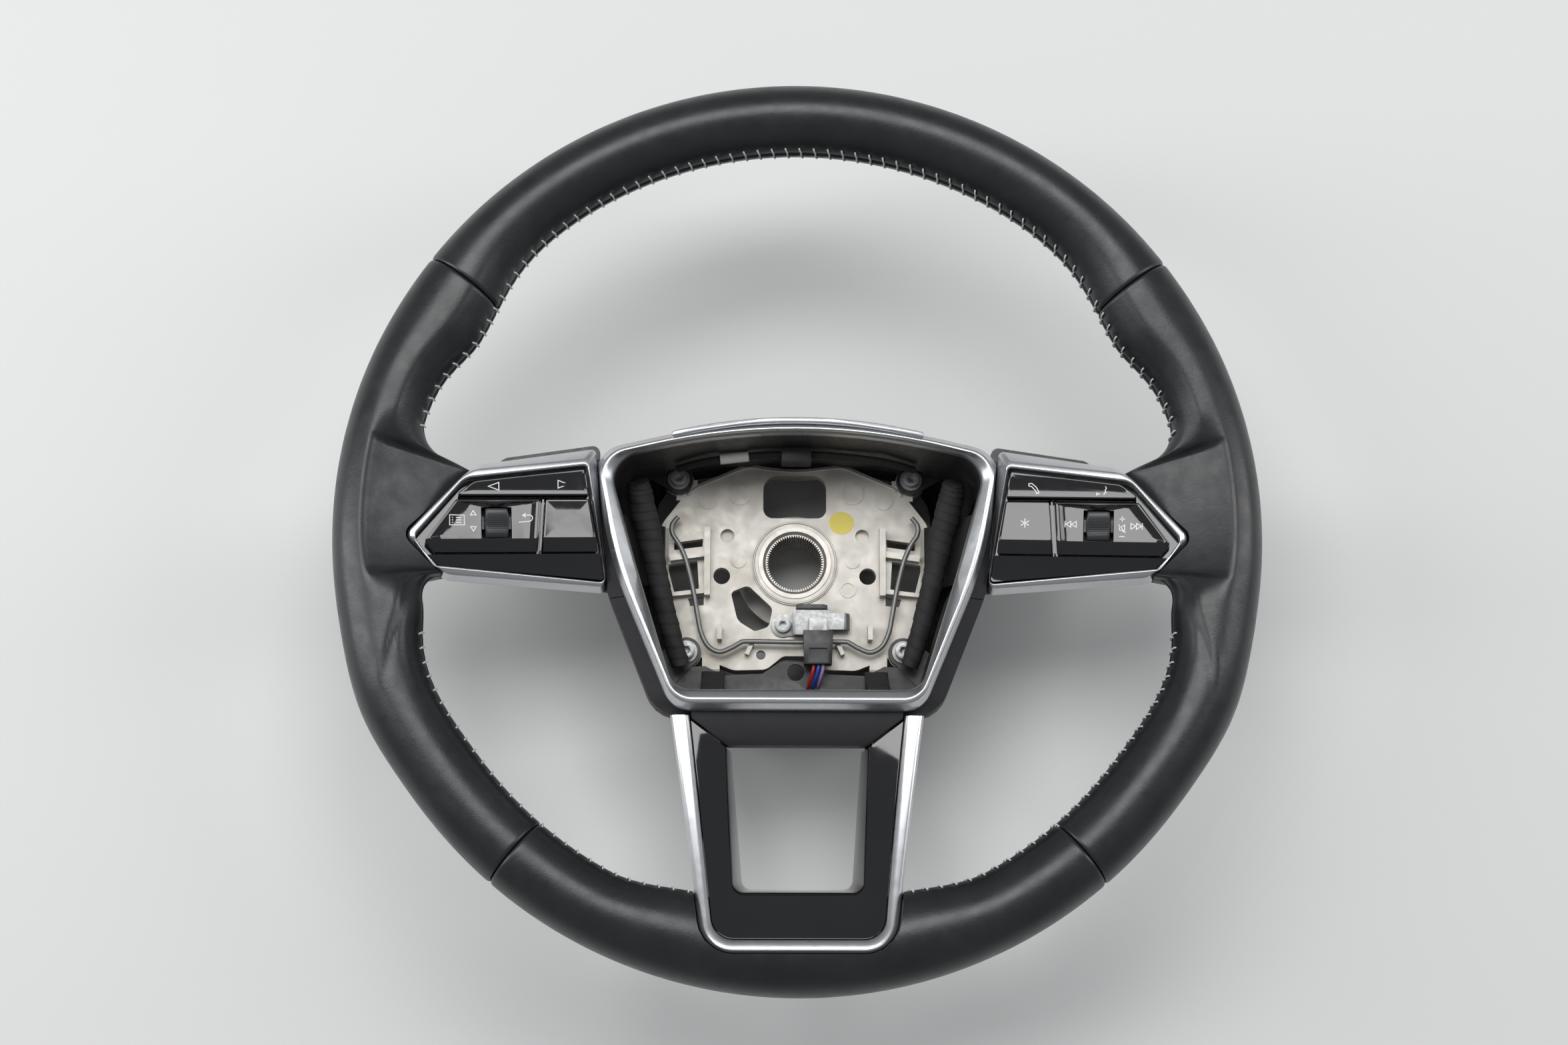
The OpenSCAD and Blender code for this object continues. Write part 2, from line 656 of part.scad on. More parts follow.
// Thread along the rim's inner edge, apart from the spokes
module stitching() {
    color("#c9cbc9")
        for (a = [SEAM_UP - stitch_lead:stitch_pitch:180 - SEAM_UP + stitch_lead])
            stitch(a);
    color("#c9cbc9")
        for (i = [0:24], side = [-1, 1])
            stitch(270 + side * (stitch_low + i * stitch_pitch));
}
module stitch(a) {
    translate([0, rim_dy, dish])
        rotate([0, 0, a])
            translate([inner_r(side_angle(a)) - stitch_lift, 0, 4])
                rotate([24, 14, 0])
                    cube([0.7, 0.8, 3.4], center = true);
}

module leather_top() {
    color("#34373a")
        leather(seamed(TOP_STATIONS));
}

module leather_side() {
    difference() {
        leather(seamed(LEFT_STATIONS));
        pod_pocket();
        spoke_arm(gap);
    }
}

module leather_left() {
    color("#34373a")
        leather_side();
}

module leather_right() {
    color("#34373a")
        mirror([1, 0, 0])
            leather_side();
}

module leather_bottom() {
    color("#34373a")
        difference() {
            leather(seamed(BOTTOM_STATIONS));
            mirrored()
                lower_arm(gap);
            u_pocket();
        }
}

// The end stations drawn back by a hair's breadth, so that neighbours only face each other
function seamed(s) = [for (i = [0:len(s) - 1]) i == 0 ? s[0] + 0.05 : i == len(s) - 1 ? s[i] - 0.05 : s[i]];

// Satin frame round the airbag opening, with a raised lip along its top
module hub_bezel() {
    color("#b9bcc0") {
        difference() {
            hoop([at_z(rounded(BEZEL_OUT), bezel_z - 8),
                at_z(rounded(BEZEL_OUT), bezel_z - 5),
                at_z(rounded(BEZEL_CREST), bezel_z - 0.6),
                at_z(rounded(grown(BEZEL_CREST, -1.6)), bezel_z),
                at_z(rounded(grown(BEZEL_IN, 0.8)), bezel_z - 2.6),
                at_z(rounded(BEZEL_IN), bezel_z - 3.6),
                at_z(rounded(BEZEL_IN), bezel_z - 8)]);
            // The pods reach into the frame's flanks
            mirrored()
                pod_pocket();
        }
        lip();
    }
}

module lip() {
    translate([0, 0, bezel_z - 5])
        linear_extrude(7)
            polygon(rounded([[51.6, 40.4, 0.8], [51, 42.8, 1.2], [0, 54, 215], [-51, 42.8, 1.2],
                [-51.6, 40.4, 0.8], [0, 51.4, 215]]));
}

// Inner frame: walls, four screw ears and the shelf under the hub plate's lower edge
module carrier_ears() {
    ear_h = ear_top - plate_top - gap;
    for (s = SCREWS) {
        translate([s[0], s[1], plate_top + gap])
            cylinder(h = ear_h, r = 6.2, $fn = 48);
        hull() {
            translate([s[0], s[1], plate_top + gap])
                cylinder(h = ear_h, r = 6, $fn = 24);
            translate([s[0] * 1.3, s[1] * 1.3, plate_top + gap])
                cylinder(h = ear_h, r = 8, $fn = 24);
        }
    }
}

module carrier() {
    top = bezel_z - 8.3;
    low = plate_top + gap;
    color("#1d1e20")
        difference() {
            union() {
                difference() {
                    plate_shape(grown(BEZEL_IN, frame_gap + frame_wall), low, top - low);
                    plate_shape(grown(BEZEL_IN, frame_gap), low - 1, top);
                }
                intersection() {
                    plate_shape(grown(BEZEL_IN, frame_gap + frame_wall / 2), low, 10);
                    union() {
                        carrier_ears();
                        slab([[-54, -46], [-38, -45], [-30, -49], [-14, -48.4], [-6, -43], [6, -43],
                            [14, -48.4], [30, -49], [38, -45], [54, -46], [54, -68], [-54, -68]], low, 2.4);
                    }
                }
            }
            for (s = SCREWS)
                translate([s[0], s[1], plate_top - 1]) {
                    cylinder(h = 12, r = screw_d / 2 + gap, $fn = 32);
                    translate([0, 0, ear_top - plate_top + 1])
                        cylinder(h = 9, r = washer_d / 2 + gap, $fn = 48);
                }
            translate([0.4, -47.6, plate_top - 1])
                cylinder(h = 8, r = 3.6, $fn = 32);
            lead_runs(gap);
            // Openings for the arms and the pods
            mirrored() {
                translate([-90, -18, plate_top - 1])
                    cube([35, 39, 44]);
                lower_arm(gap);
                pod_pocket();
            }
        }
}

module socket_screw(h) {
    difference() {
        union() {
            cylinder(h = 3.6, r = 3.4, $fn = 48);
            translate([0, 0, -h])
                cylinder(h = h + eps, r = screw_d / 2 - gap / 2 - 0.02, $fn = 32);
        }
        translate([0, 0, 1.4])
            cylinder(h = 3, r = 1.9, $fn = 6);
    }
}

module carrier_screws() {
    color("#9a9c9e")
        for (s = SCREWS)
            translate([s[0], s[1], ear_top + washer_t + 2 * eps])
                socket_screw(9);
}

module carrier_washers() {
    color("#b4b6b8")
        for (s = SCREWS)
            translate([s[0], s[1], ear_top + eps])
                difference() {
                    cylinder(h = washer_t, r = washer_d / 2, $fn = 48);
                    translate([0, 0, -1])
                        cylinder(h = washer_t + 2, r = screw_d / 2 + 0.1, $fn = 32);
                }
}

// Matt flank under the bezel, with an apron that runs down to the window of the lower spoke
function flank_rings(d) = [at_z(rounded(grown(FLANK, -1.5 - d)), split_flank_z),
    at_z(rounded(grown(FLANK, -d)), bezel_z - 26), at_z(rounded(grown(FLANK, -0.5 - d)), bezel_z - 13),
    at_z(rounded(grown(BEZEL_OUT, -0.6 - d)), bezel_z - 8.3)];
module lower_cover() {
    color("#232427")
        difference() {
            union() {
                difference() {
                    hoop(concat(flank_rings(0), [for (i = [3:-1:0]) flank_rings(wall)[i]]));
                    translate([-100, split_flank_y, 0])
                        cube([200, 100, 120]);
                }
                intersection() {
                    side_prism([[-66, bezel_z - 8.3], [-66, bezel_z - 16], [-81.6, bezel_z - 24],
                        [-84.2, bezel_z - 24], [-84.2, bezel_z - 15.4], [-80, bezel_z - 12],
                        [-71, bezel_z - 8.3]], -44, 44);
                    plate_shape([[27.9, -83.4, 1], [42.4, -73, 1], [42.4, -66, 0.2],
                        [-42.4, -66, 0.2], [-42.4, -73, 1], [-27.9, -83.4, 1]], 50, 40);
                }
            }
            mirrored() {
                pod_pocket();
                lower_arm(gap);
            }
        }
}

// Silver U of the lower spoke: each rail runs down one leg, round the foot and up the other
function leg(c, y) = [mix(c[0][0], c[1][0], (c[0][1] - y) / (c[0][1] - c[1][1])), y];
function u_half(c, top, n = 6) = concat(
    [for (i = [0:n - 1]) leg(c, mix(top, c[1][1] + c[1][2] + 2, i / (n - 1)))],
    corner_arc(leg(c, top), c[1], [0, c[1][1]], 6));
function u_rail(c, top, drop) =
    let (h = u_half(c, top), n = len(h))
    [for (i = [0:2 * n - 1]) let (p = i < n ? h[i] : [-h[2 * n - 1 - i][0], h[2 * n - 1 - i][1]])
        [p[0], p[1], u_crest(p[1]) + drop]];
function widened(c, d) = [[c[0][0] + d, c[0][1]], [c[1][0] + d, c[1][1] - d, c[1][2] + d]];
// The section's points run up one side and back down the other, so its ends close in strips
module u_swept(rails) {
    n = len(rails);
    rows = len(rails[0]);
    last = (rows - 1) * n;
    polyhedron(points = [for (i = [0:rows - 1]) each [for (r = rails) r[i]]],
        faces = concat([for (j = [0:rows - 2], i = [0:n - 1]) each cell(j, i, j + 1, n)],
            [for (i = [0:n / 2 - 2]) each [[i, i + 1, n - 2 - i], [i, n - 2 - i, n - 1 - i]]],
            [for (i = [0:n / 2 - 2], a = last + i, b = last + n - 1 - i)
                each [[b, b - 1, a + 1], [b, a + 1, a]]]));
}

module lower_spoke_trim() {
    top = -72;
    color("#c4c7ca")
        u_swept([u_rail(U_OUT, top, -5), u_rail(U_OUT, top, -1.6), u_rail(widened(U_OUT, -1.2), top, -0.3),
            u_rail(U_INNER_CREST, top, 0), u_rail(U_IN, top, -1), u_rail(U_IN, top, -5)]);
}

// Gloss liner between the U and the window
module lower_spoke_insert() {
    edge = widened(U_IN, -gap);
    color("#0b0b0d")
        u_swept([u_rail(edge, -74, -7), u_rail(edge, -74, -1.8), u_rail(WINDOW_TOP, -84.8, -5),
            u_rail(WINDOW, -84.8, -22), u_rail(widened(WINDOW, wall), -84.8, -22),
            u_rail(widened(WINDOW_TOP, wall), -84.8, -7.6), u_rail(widened(edge, -wall), -75.6, -4.4),
            u_rail(widened(edge, -wall), -75.6, -7)]);
}

// Rear cover: bowl behind the hub, troughs behind the spokes, opening for the column shroud
module trough(d) {
    in_pod(-1)
        lofted([at_z(rounded(grown(TROUGH_LOW, -d)), -33 + d), at_z(rounded(grown(TROUGH_TOP, -d)), -20),
            at_z(rounded(grown(TROUGH_TOP, -d)), bezel_low - gap + (d > 0 ? 1 : 0))]);
}

module bowl(d) {
    lofted(concat([at_z(rounded(grown(REAR_RIM, -d)), -rest_drop - (d > 0 ? 1 : 0)),
        at_z(rounded(grown(REAR_MID, -d)), rear_mid_z)], [for (i = [0:2]) flank_rings(d)[i]],
        [at_z(flank_rings(d)[3], bezel_z - 8.3 + (d > 0 ? 1 : 0))]));
}

module lower_back(d) {
    intersection() {
        plate_shape([[51 - d, -50, 1], [38.2 - d, -160, 4], [-38.2 + d, -160, 4], [-51 + d, -50, 1]],
            20, 90);
        side_prism([[-50 - d, 26 + d], [-84, 52 + d], [-140 - d, 76 + d], [-140 - d, 85 + d],
            [-110, 77 + d], [-70.4, 69 + d], [-50 - d, 60 + d]], -60, 60);
    }
}

module paddle_ear() {
    difference() {
        union() {
            rotate([90, 0, 0])
                cylinder(h = ear_l, r = ear_r, $fn = 48);
            translate([-ear_r, -ear_l, 0])
                cube([2 * ear_r, ear_l, 12]);
        }
        translate([0, 1, 0])
            rotate([90, 0, 0])
                cylinder(h = ear_l + 2, r = pin_d / 2 + 0.01, $fn = 48);
    }
}

module rear_cover() {
    color("#1f2022")
        difference() {
            union() {
                bowl(0);
                mirrored() {
                    trough(0);
                    for (y = [hinge_y0 - 0.5, hinge_y1 + ear_l + 0.5])
                        translate([hinge_x, y, paddle_z])
                            paddle_ear();
                }
                lower_back(0);
            }
            bowl(wall);
            mirrored() {
                trough(wall);
                spoke_arm(gap);
                pod_pocket();
            }
            lower_back(wall);
            plate_shape([[29.6, u_start, 2], [24.4, u_foot + 23.3, 5], [-24.4, u_foot + 23.3, 5],
                [-29.6, u_start, 2]], 10, 90);
            // Room for the lower cover
            translate([-100, -73, split_flank_z - gap])
                cube([200, 73 + split_flank_y + gap, 60]);
            translate([-44 - gap, -84.2 - gap, bezel_z - 24 - gap])
                cube([88 + 2 * gap, 12, 60]);
        }
}

// Shift paddles behind the side spokes, hinged at their inner ends
module paddle_side() {
    length = hinge_y1 - hinge_y0;
    difference() {
        union() {
            slab(rounded([[-83, 46.8, 3], [-126.4, 40.4, 5], [-124, 12, 10], [-83, -9, 4]]),
                paddle_z - 1, paddle_t);
            translate([hinge_x, hinge_y1, paddle_z])
                rotate([90, 0, 0])
                    cylinder(h = length, r = barrel_r, $fn = 48);
        }
        // Room for the ears
        for (y = [hinge_y0 - 20, hinge_y1])
            translate([hinge_x - ear_r - 0.6, y, paddle_z - 10])
                cube([2 * ear_r + 10, y < 0 ? 20 : ear_l + 1, 20]);
        translate([hinge_x, 60, paddle_z])
            rotate([90, 0, 0])
                cylinder(h = 90, r = pin_d / 2 + running, $fn = 48);
    }
}

module left_paddle() {
    color("#151618")
        paddle_side();
}

module right_paddle() {
    color("#151618")
        mirror([1, 0, 0])
            paddle_side();
}

module paddle_pins() {
    color("#a5a7a9")
        mirrored()
            translate([hinge_x, hinge_y1 + ear_l + 0.5, paddle_z])
                rotate([90, 0, 0])
                    cylinder(h = hinge_y1 - hinge_y0 + 2 * ear_l + 1, r = pin_d / 2, $fn = 48);
}

// Bent wire that catches the airbag's hooks
module spring_wire() {
    half = [for (p = WIRE_HALF) [p[0], p[1], wire_z]];
    whole = concat([for (i = [len(half) - 1:-1:1]) [-half[i][0], half[i][1], wire_z]], half);
    color("#8c8f92")
        swept(whole, [wire_d / 2], 8);
}

// Contact clip: folded steel with an eyelet and a spring loop
module contact_clip() {
    z = plate_top + 2.4;
    color("#b9bbbd")
        difference() {
            union() {
                translate([-5.1, -27.2, plate_top + eps])
                    cylinder(h = 1, r = 5, $fn = 48);
                slab([[-4, -31.8], [0, -31.8], [0, -22], [-4, -22.4]], plate_top + eps, 1);
                slab([[-0.8, -31.8], [0.2, -31.8], [0.2, -21.2], [-0.8, -21.2]], plate_top + eps, 6);
                slab([[-0.8, -31.8], [14.4, -31.8], [14.4, -21.2], [-0.8, -21.2]], plate_top + 5, 1);
                slab([[14, -29.6], [20.6, -29.6], [20.6, -22.6], [14, -22.6]], plate_top + 5, 1);
                translate([20.6, -22.6, plate_top + 3.2])
                    rotate([90, 0, 0])
                        rotate_extrude(angle = 180, start = -90, $fn = 48)
                            translate([1.8, 0])
                                square([1, 7]);
                slab([[14, -29.6], [20.6, -29.6], [20.6, -22.6], [14, -22.6]], plate_top + 0.4, 1);
            }
            translate([-5.1, -27.2, plate_top - 1])
                cylinder(h = 4, r = 2.2, $fn = 32);
        }
}

module clip_screw() {
    color("#9a9c9e")
        translate([-5.1, -27.2, plate_top + 1 + 2 * eps])
            difference() {
                union() {
                    cylinder(h = 2.6, r = 3.3, $fn = 48);
                    translate([0, 0, -1])
                        cylinder(h = 1 + eps, r = 2, $fn = 32);
                }
                translate([0, 0, 1])
                    cylinder(h = 3, r = 1.6, $fn = 6);
            }
}

// Plastic block that the clip grips
module clip_block() {
    color("#1b1b1d")
        union() {
            slab([[0.6, -29], [13.8, -29], [13.8, -18.8], [0.6, -18.8]], plate_top + 2 * eps, 4.8);
            slab([[0.6, -20.8], [13.8, -20.8], [12.6, -18.8], [1.6, -18.8]], plate_top + 4, 2.6);
        }
}

// Plug on the clip's tab, with its leads
module connector() {
    color("#141416")
        difference() {
            slab([[3.8, -45.4], [15.4, -45.4], [16, -31], [3.4, -31]], plate_top + 6.4, 6.6);
            slab([[5.4, -40], [14, -40], [14, -30], [5.4, -30]], plate_top + 8.4, 2.2);
            translate([6, -44.6, plate_top + 12])
                cube([7.4, 6, 2]);
            lead_runs(running);
        }
}

module connector_tab() {
    color("#c3c5c7")
        difference() {
            slab([[5.8, -38], [13.6, -38], [13.6, -25], [5.8, -25]], plate_top + 8.9, 0.9);
            translate([9.7, -34, plate_top + 8])
                cylinder(h = 3, r = 0.8, $fn = 32);
        }
    color("#c3c5c7")
        slab([[5.8, -27], [13.6, -27], [13.6, -25], [5.8, -25]], plate_top + 6.1, 3);
}

module lead_runs(g = 0) {
    for (i = [0:2])
        translate([(i - 1) * lead_pitch, i * 0.4, 0])
            swept(LEADS, [lead_r + g], 6);
}

module connector_leads() {
    color("#3a4fb0")
        lead_runs();
}

// Taped looms beside the hub plate, and the thin one under the top edge
module left_loom() {
    color("#19191a")
        swept(LOOM, LOOM_R, 10);
}

module right_loom() {
    color("#19191a")
        mirror([1, 0, 0])
            swept(LOOM, LOOM_R, 10);
}

module top_loom() {
    color("#19191a")
        swept(TOP_LOOM, [1.5], 8);
}

module loom_sleeve() {
    color("#e8e6df")
        translate([-32, 39, 56])
            rotate([0, 90, atan2(1.4, 12)])
                difference() {
                    cylinder(h = 12, r = 2.2, $fn = 32);
                    translate([0, 0, -1])
                        cylinder(h = 14, r = 1.85, $fn = 32);
                }
}

// Clip at twelve o'clock that holds the thin loom
module top_bracket() {
    color("#17181a")
        difference() {
            slab([[-6.2, 37], [6.2, 37], [6.2, 43.2], [-6.2, 43.2]], 52, 9);
            translate([-10, 39.2, 50])
                cube([20, 4.1, 8]);
        }
}

// Silver frame of a key pod
function pod_loop(corners, z) = [for (p = rounded(corners)) [p[0], p[1], z + pod_fall(p[1])]];
module pod_bezel() {
    in_pod(-1)
        hoop([at_z(rounded(POD_FOOT), bezel_low), pod_loop(POD_OUT, -5), pod_loop(POD_CREST, -0.5),
            pod_loop(grown(POD_IN, 0.7), 0), pod_loop(POD_IN, -0.8), at_z(rounded(POD_IN), bezel_low)]);
}

module left_pod_bezel() {
    color("#b9bcc0")
        pod_bezel();
}

module right_pod_bezel() {
    color("#b9bcc0")
        mirror([1, 0, 0])
            pod_bezel();
}

// A key is its outline cut to the pod's cross section, with a sloping front skirt
module key_body(outline) {
    intersection() {
        plate_shape(outline, key_low, key_t + 2);
        side_prism([[30, key_top + 0.5], [20, key_top], [front_y, key_top],
            [skirt_y - 1, key_top - 3.4], [skirt_y - 1, key_low], [30, key_low]], -60, 60);
    }
}

module pod_housing() {
    in_pod(-1)
        difference() {
            union() {
                plate_shape(grown(POD_IN, -gap), deck_z - 6, 6);
                // Lower apron below the keys
                intersection() {
                    plate_shape(grown(POD_IN, -gap), deck_z - 3, 12);
                    side_prism([[skirt_y - key_gap, deck_z - 3], [skirt_y - key_gap, -5],
                        [-24, -13], [-24, deck_z - 3 - 4]], -60, 60);
                }
                // Rib between the keys, and the ridges that the rockers tip on
                slab([[14.45, skirt_y], [15.15, skirt_y], [16.75, split_y], [16.05, split_y]],
                    deck_z - 1, key_top - deck_z);
                bearings(rocker_x, ROCKER_PIVOTS);
                bearings(roller_x, FRAME_PIVOTS);
            }
            translate([roller_x - 8, roller_y - 7.6, deck_z - 9])
                cube([16, 15.2, 12]);
        }
}

// Round pivots under a rocking key, and the grooved blocks that carry them
module pivots(x, spans, r) {
    for (q = spans)
        translate([x, q[0] + q[1], hinge_z])
            rotate([90, 0, 0])
                cylinder(h = q[1], r = r, $fn = 32);
}

module bearings(x, spans) {
    half = pivot_r + pivot_wall;
    difference() {
        for (q = spans)
            translate([x - half, q[0], deck_z - eps])
                cube([2 * half, q[1], key_low - deck_z - gap]);
        pivots(x, [for (q = spans) [q[0] - 1, q[1] + 2]], pivot_r + running);
    }
}

module left_pod_housing() {
    color("#0c0c0e")
        pod_housing();
}

module right_pod_housing() {
    color("#0c0c0e")
        mirror([1, 0, 0])
            pod_housing();
}

module rocker() {
    in_pod(-1) {
        key_body(ROCKER);
        pivots(rocker_x, ROCKER_PIVOTS, pivot_r);
    }
}

module left_rocker() {
    color("#111113")
        rocker();
}

module right_rocker() {
    color("#111113")
        mirror([1, 0, 0])
            rocker();
}

module frame_key() {
    in_pod(-1)
        difference() {
            union() {
                key_body(FRAME_KEY);
                pivots(roller_x, FRAME_PIVOTS, pivot_r);
            }
            translate([roller_x - slot_w / 2, roller_y - slot_l / 2, key_low - 1])
                cube([slot_w, slot_l, key_t + 4]);
        }
}

module left_frame_key() {
    color("#111113")
        frame_key();
}

module right_frame_key() {
    color("#111113")
        mirror([1, 0, 0])
            frame_key();
}

module single_key() {
    in_pod(-1)
        key_body(SINGLE_KEY);
}

module left_single_key() {
    color("#111113")
        single_key();
}

module right_single_key() {
    color("#111113")
        mirror([1, 0, 0])
            single_key();
}

// Cradle with two ears that carry the roller's stub axles
module roller_cradle() {
    ear_x = roller_w / 2 + gap;
    in_pod(-1)
        difference() {
            translate([roller_x, roller_y, 0])
                union() {
                    translate([-7, -7, deck_z - 5.1])
                        cube([14, 14, 3.5]);
                    for (s = [-1, 1])
                        translate([s * (ear_x + ear_w / 2), 0, (deck_z - 2 + roller_z + 1.6) / 2])
                            cube([ear_w, 5, roller_z + 1.6 - deck_z + 2], center = true);
                }
            translate([roller_x - 10, roller_y, roller_z])
                rotate([0, 90, 0])
                    cylinder(h = 20, r = axle_d / 2 + running, $fn = 32);
            translate([roller_x - roller_w / 2 - gap, roller_y, roller_z])
                rotate([0, 90, 0])
                    cylinder(h = roller_w + 2 * gap, r = roller_d / 2 + gap, $fn = 64);
        }
}

module left_roller_cradle() {
    color("#101012")
        roller_cradle();
}

module right_roller_cradle() {
    color("#101012")
        mirror([1, 0, 0])
            roller_cradle();
}

// Ribbed roller
module roller() {
    rib = 0.45;
    pitch = 360 / roller_ribs;
    in_pod(-1)
        translate([roller_x - roller_w / 2, roller_y, roller_z])
            rotate([0, 90, 0])
                union() {
                    linear_extrude(roller_w)
                        polygon([for (k = [0:roller_ribs - 1])
                            each [for (q = [[0, 0], [0.5, 0], [0.6, 1], [0.9, 1]])
                                (roller_d / 2 - rib * q[1])
                                    * [cos((k + q[0]) * pitch), sin((k + q[0]) * pitch)]]]);
                    translate([0, 0, -gap - ear_w])
                        cylinder(h = roller_w + 2 * (gap + ear_w), r = axle_d / 2, $fn = 32);
                }
}

module left_roller() {
    color("#2a2b2d")
        roller();
}

module right_roller() {
    color("#2a2b2d")
        mirror([1, 0, 0])
            roller();
}

armature();
hub_collar();
latch_rails();
side_arms();
lower_arms();
rim_core();
hub_boss();
rim_foam();
leather_top();
leather_left();
leather_right();
leather_bottom();
stitching();
hub_bezel();
carrier();
carrier_screws();
carrier_washers();
lower_cover();
lower_spoke_trim();
lower_spoke_insert();
rear_cover();
spring_wire();
contact_clip();
clip_screw();
clip_block();
connector();
connector_tab();
connector_leads();
left_loom();
right_loom();
top_loom();
loom_sleeve();
top_bracket();
left_pod_bezel();
right_pod_bezel();
left_pod_housing();
right_pod_housing();
left_rocker();
right_rocker();
left_frame_key();
right_frame_key();
left_single_key();
right_single_key();
left_roller_cradle();
right_roller_cradle();
left_roller();
right_roller();
left_paddle();
right_paddle();
paddle_pins();
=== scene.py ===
# Looks of the steering wheel: materials, fine surfaces, seams, prints, floor, light and camera.
import math
import random

import bmesh
import bpy
import numpy as np
from mathutils import Matrix, Vector
from mathutils.bvhtree import BVHTree


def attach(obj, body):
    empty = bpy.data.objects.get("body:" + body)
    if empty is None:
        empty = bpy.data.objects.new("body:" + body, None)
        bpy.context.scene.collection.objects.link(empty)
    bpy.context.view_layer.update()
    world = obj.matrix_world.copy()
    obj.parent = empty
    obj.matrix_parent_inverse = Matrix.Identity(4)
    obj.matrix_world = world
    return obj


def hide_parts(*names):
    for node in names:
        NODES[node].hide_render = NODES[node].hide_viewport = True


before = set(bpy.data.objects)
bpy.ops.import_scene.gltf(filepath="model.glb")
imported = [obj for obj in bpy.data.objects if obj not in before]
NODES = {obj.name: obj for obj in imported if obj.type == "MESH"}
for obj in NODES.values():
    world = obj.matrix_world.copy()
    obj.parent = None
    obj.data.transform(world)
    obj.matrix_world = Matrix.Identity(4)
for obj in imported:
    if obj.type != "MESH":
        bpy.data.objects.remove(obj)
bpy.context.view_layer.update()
random.seed(7)
MM = 0.001

# Sizes of the part in millimetres, as in its source
RIM_D, RIM_W_TOP, RIM_W_LOW, RIM_T = 370, 28.5, 30, 33
DISH, RIM_DY, LEATHER_T = 99, 2, 1.3
BEZEL_Z, POD_Z, PLATE_TOP = 88, 94, 28
BEZEL_IN = [[49.6, -62.2, 9], [65.2, -12, 300], [77.5, 32.3, 11], [0, 50.5, 260],
            [-77.5, 32.3, 11], [-65.2, -12, 300], [-49.6, -62.2, 9]]
BEZEL_CREST = [[49.6, -67.8, 11.5], [73, -12, 170], [82, 33.6, 12], [0, 53.4, 262],
               [-82, 33.6, 12], [-73, -12, 170], [-49.6, -67.8, 11.5]]
BEZEL_OUT = [[50.4, -70.4, 12], [75, -12, 160], [84.6, 35.5, 13], [0, 55.9, 265],
             [-84.6, 35.5, 13], [-75, -12, 160], [-50.4, -70.4, 12]]
POD_IN = [[-14.8, 21.6, 8], [-35.3, -1.8, 2.5], [-27.2, -12.6, 4], [41.1, -19.3, 1.5], [34.2, 27, 1.5]]
POD_CREST = [[-13.8, 24.8, 13], [-39.4, -1.4, 4], [-22.5, -16.2, 8], [41.4, -21.6, 2], [35.1, 29.5, 2]]
POD_OUT = [[-10.2, 28.3, 14], [-40.2, -1.4, 4.5], [-23, -18, 9], [42.4, -23.7, 2], [38.8, 35.3, 2]]
POD_FOOT = [[-10.4, 27.6, 13], [-39.4, -1.2, 4.5], [-24.4, -16.4, 7], [42, -20.6, 2], [38, 33.4, 2]]
U_START, U_FOOT = -66, 18.7 - RIM_D / 2
U_OUT = [[51.9, U_START], [36.7, U_FOOT, 14]]
U_IN = [[44, U_START], [32.7, U_FOOT + 5, 9]]
U_CREST = [[45.6, U_START], [34, U_FOOT + 3.5, 10]]
WINDOW_TOP = [[28.4, -84.6], [25.2, U_FOOT + 23.3, 4]]
WINDOW = [[26.4, -84.8], [21.6, U_FOOT + 25.3, 4]]
KEY_TOP, KEY_LOW, FRONT_Y, SKIRT_Y, SPLIT_Y = -0.9, -6.4, -3.3, -8.0, 13.2
ROCKER = [[-19.5, SPLIT_Y + 1.4, 1], [35, SPLIT_Y + 1.4, 0.8], [33.4, 25.6, 1], [-11.2, 20.6, 6]]
FRAME_KEY = [[-31, FRONT_Y, 1], [-27.4, SKIRT_Y, 1], [13.9, SKIRT_Y, 0.8], [15.4, SPLIT_Y, 0.8],
             [-18.6, SPLIT_Y, 1.4]]
FRAME_RIM = [[-29.9, FRONT_Y + 0.5, 0.5], [-29.2, FRONT_Y, 0.5], [13.8, FRONT_Y, 0.8],
             [15, SPLIT_Y - 0.4, 0.8], [-18.4, SPLIT_Y - 0.4, 1.4]]
SINGLE_KEY = [[15.7, SKIRT_Y, 0.8], [38.2, SKIRT_Y, 0.8], [35, SPLIT_Y, 0.8], [17.4, SPLIT_Y, 0.8]]
ROLLER, ROLLER_R, ROLLER_W, RIBS = [-2.5, 3.5, -3.6], 6.2, 9.2, 48
SLOT = [[-8.6, 3.4, 0.3], [-8.6, -3.1, 0.3], [3.6, -3.1, 0.3], [3.6, 10.1, 0.3], [-8.6, 10.1, 0.3]]
BOWL = 1.3
LOOM = [[-66, 29, 58], [-65.6, 25, 55], [-64, 17, 51], [-61.6, 8, 48], [-59.4, -3, 46],
        [-57, -14, 45], [-54, -26, 43], [-51, -37, 41], [-48, -46, 39]]
LOOM_R = [4.2, 5.2, 5.6, 5.2, 4.6, 4.4, 4.2, 4, 3.6]
TOP_LOOM = [[-50, 36.2, 50], [-42, 37.6, 54], [-32, 39, 56], [-20, 40.4, 56], [-8, 41.2, 56],
            [8, 41.2, 56], [20, 40.4, 56], [32, 39, 56], [42, 37.6, 54], [50, 36.2, 50]]
LEADS = [[10, -45, 38], [9.6, -48, 38], [8.8, -51, 36.5], [8, -53.5, 33.5], [7.6, -55, 30.6]]
STITCH_PITCH = 2.1
WIRE_D = 2.1
TAPE_T = 0.3
WELD_GAP, SOFT_EDGE = 0.01, 0.18
WIRE_HALF = [[0, -35], [20, -34.8], [23.5, -35.6], [27, -37.6], [32, -39.3], [36.8, -36.8],
             [39.8, -31], [41.3, -24], [43.5, -12], [46.5, 0], [49.5, 7], [52.3, 11.5],
             [52.6, 15.5], [50, 19]]
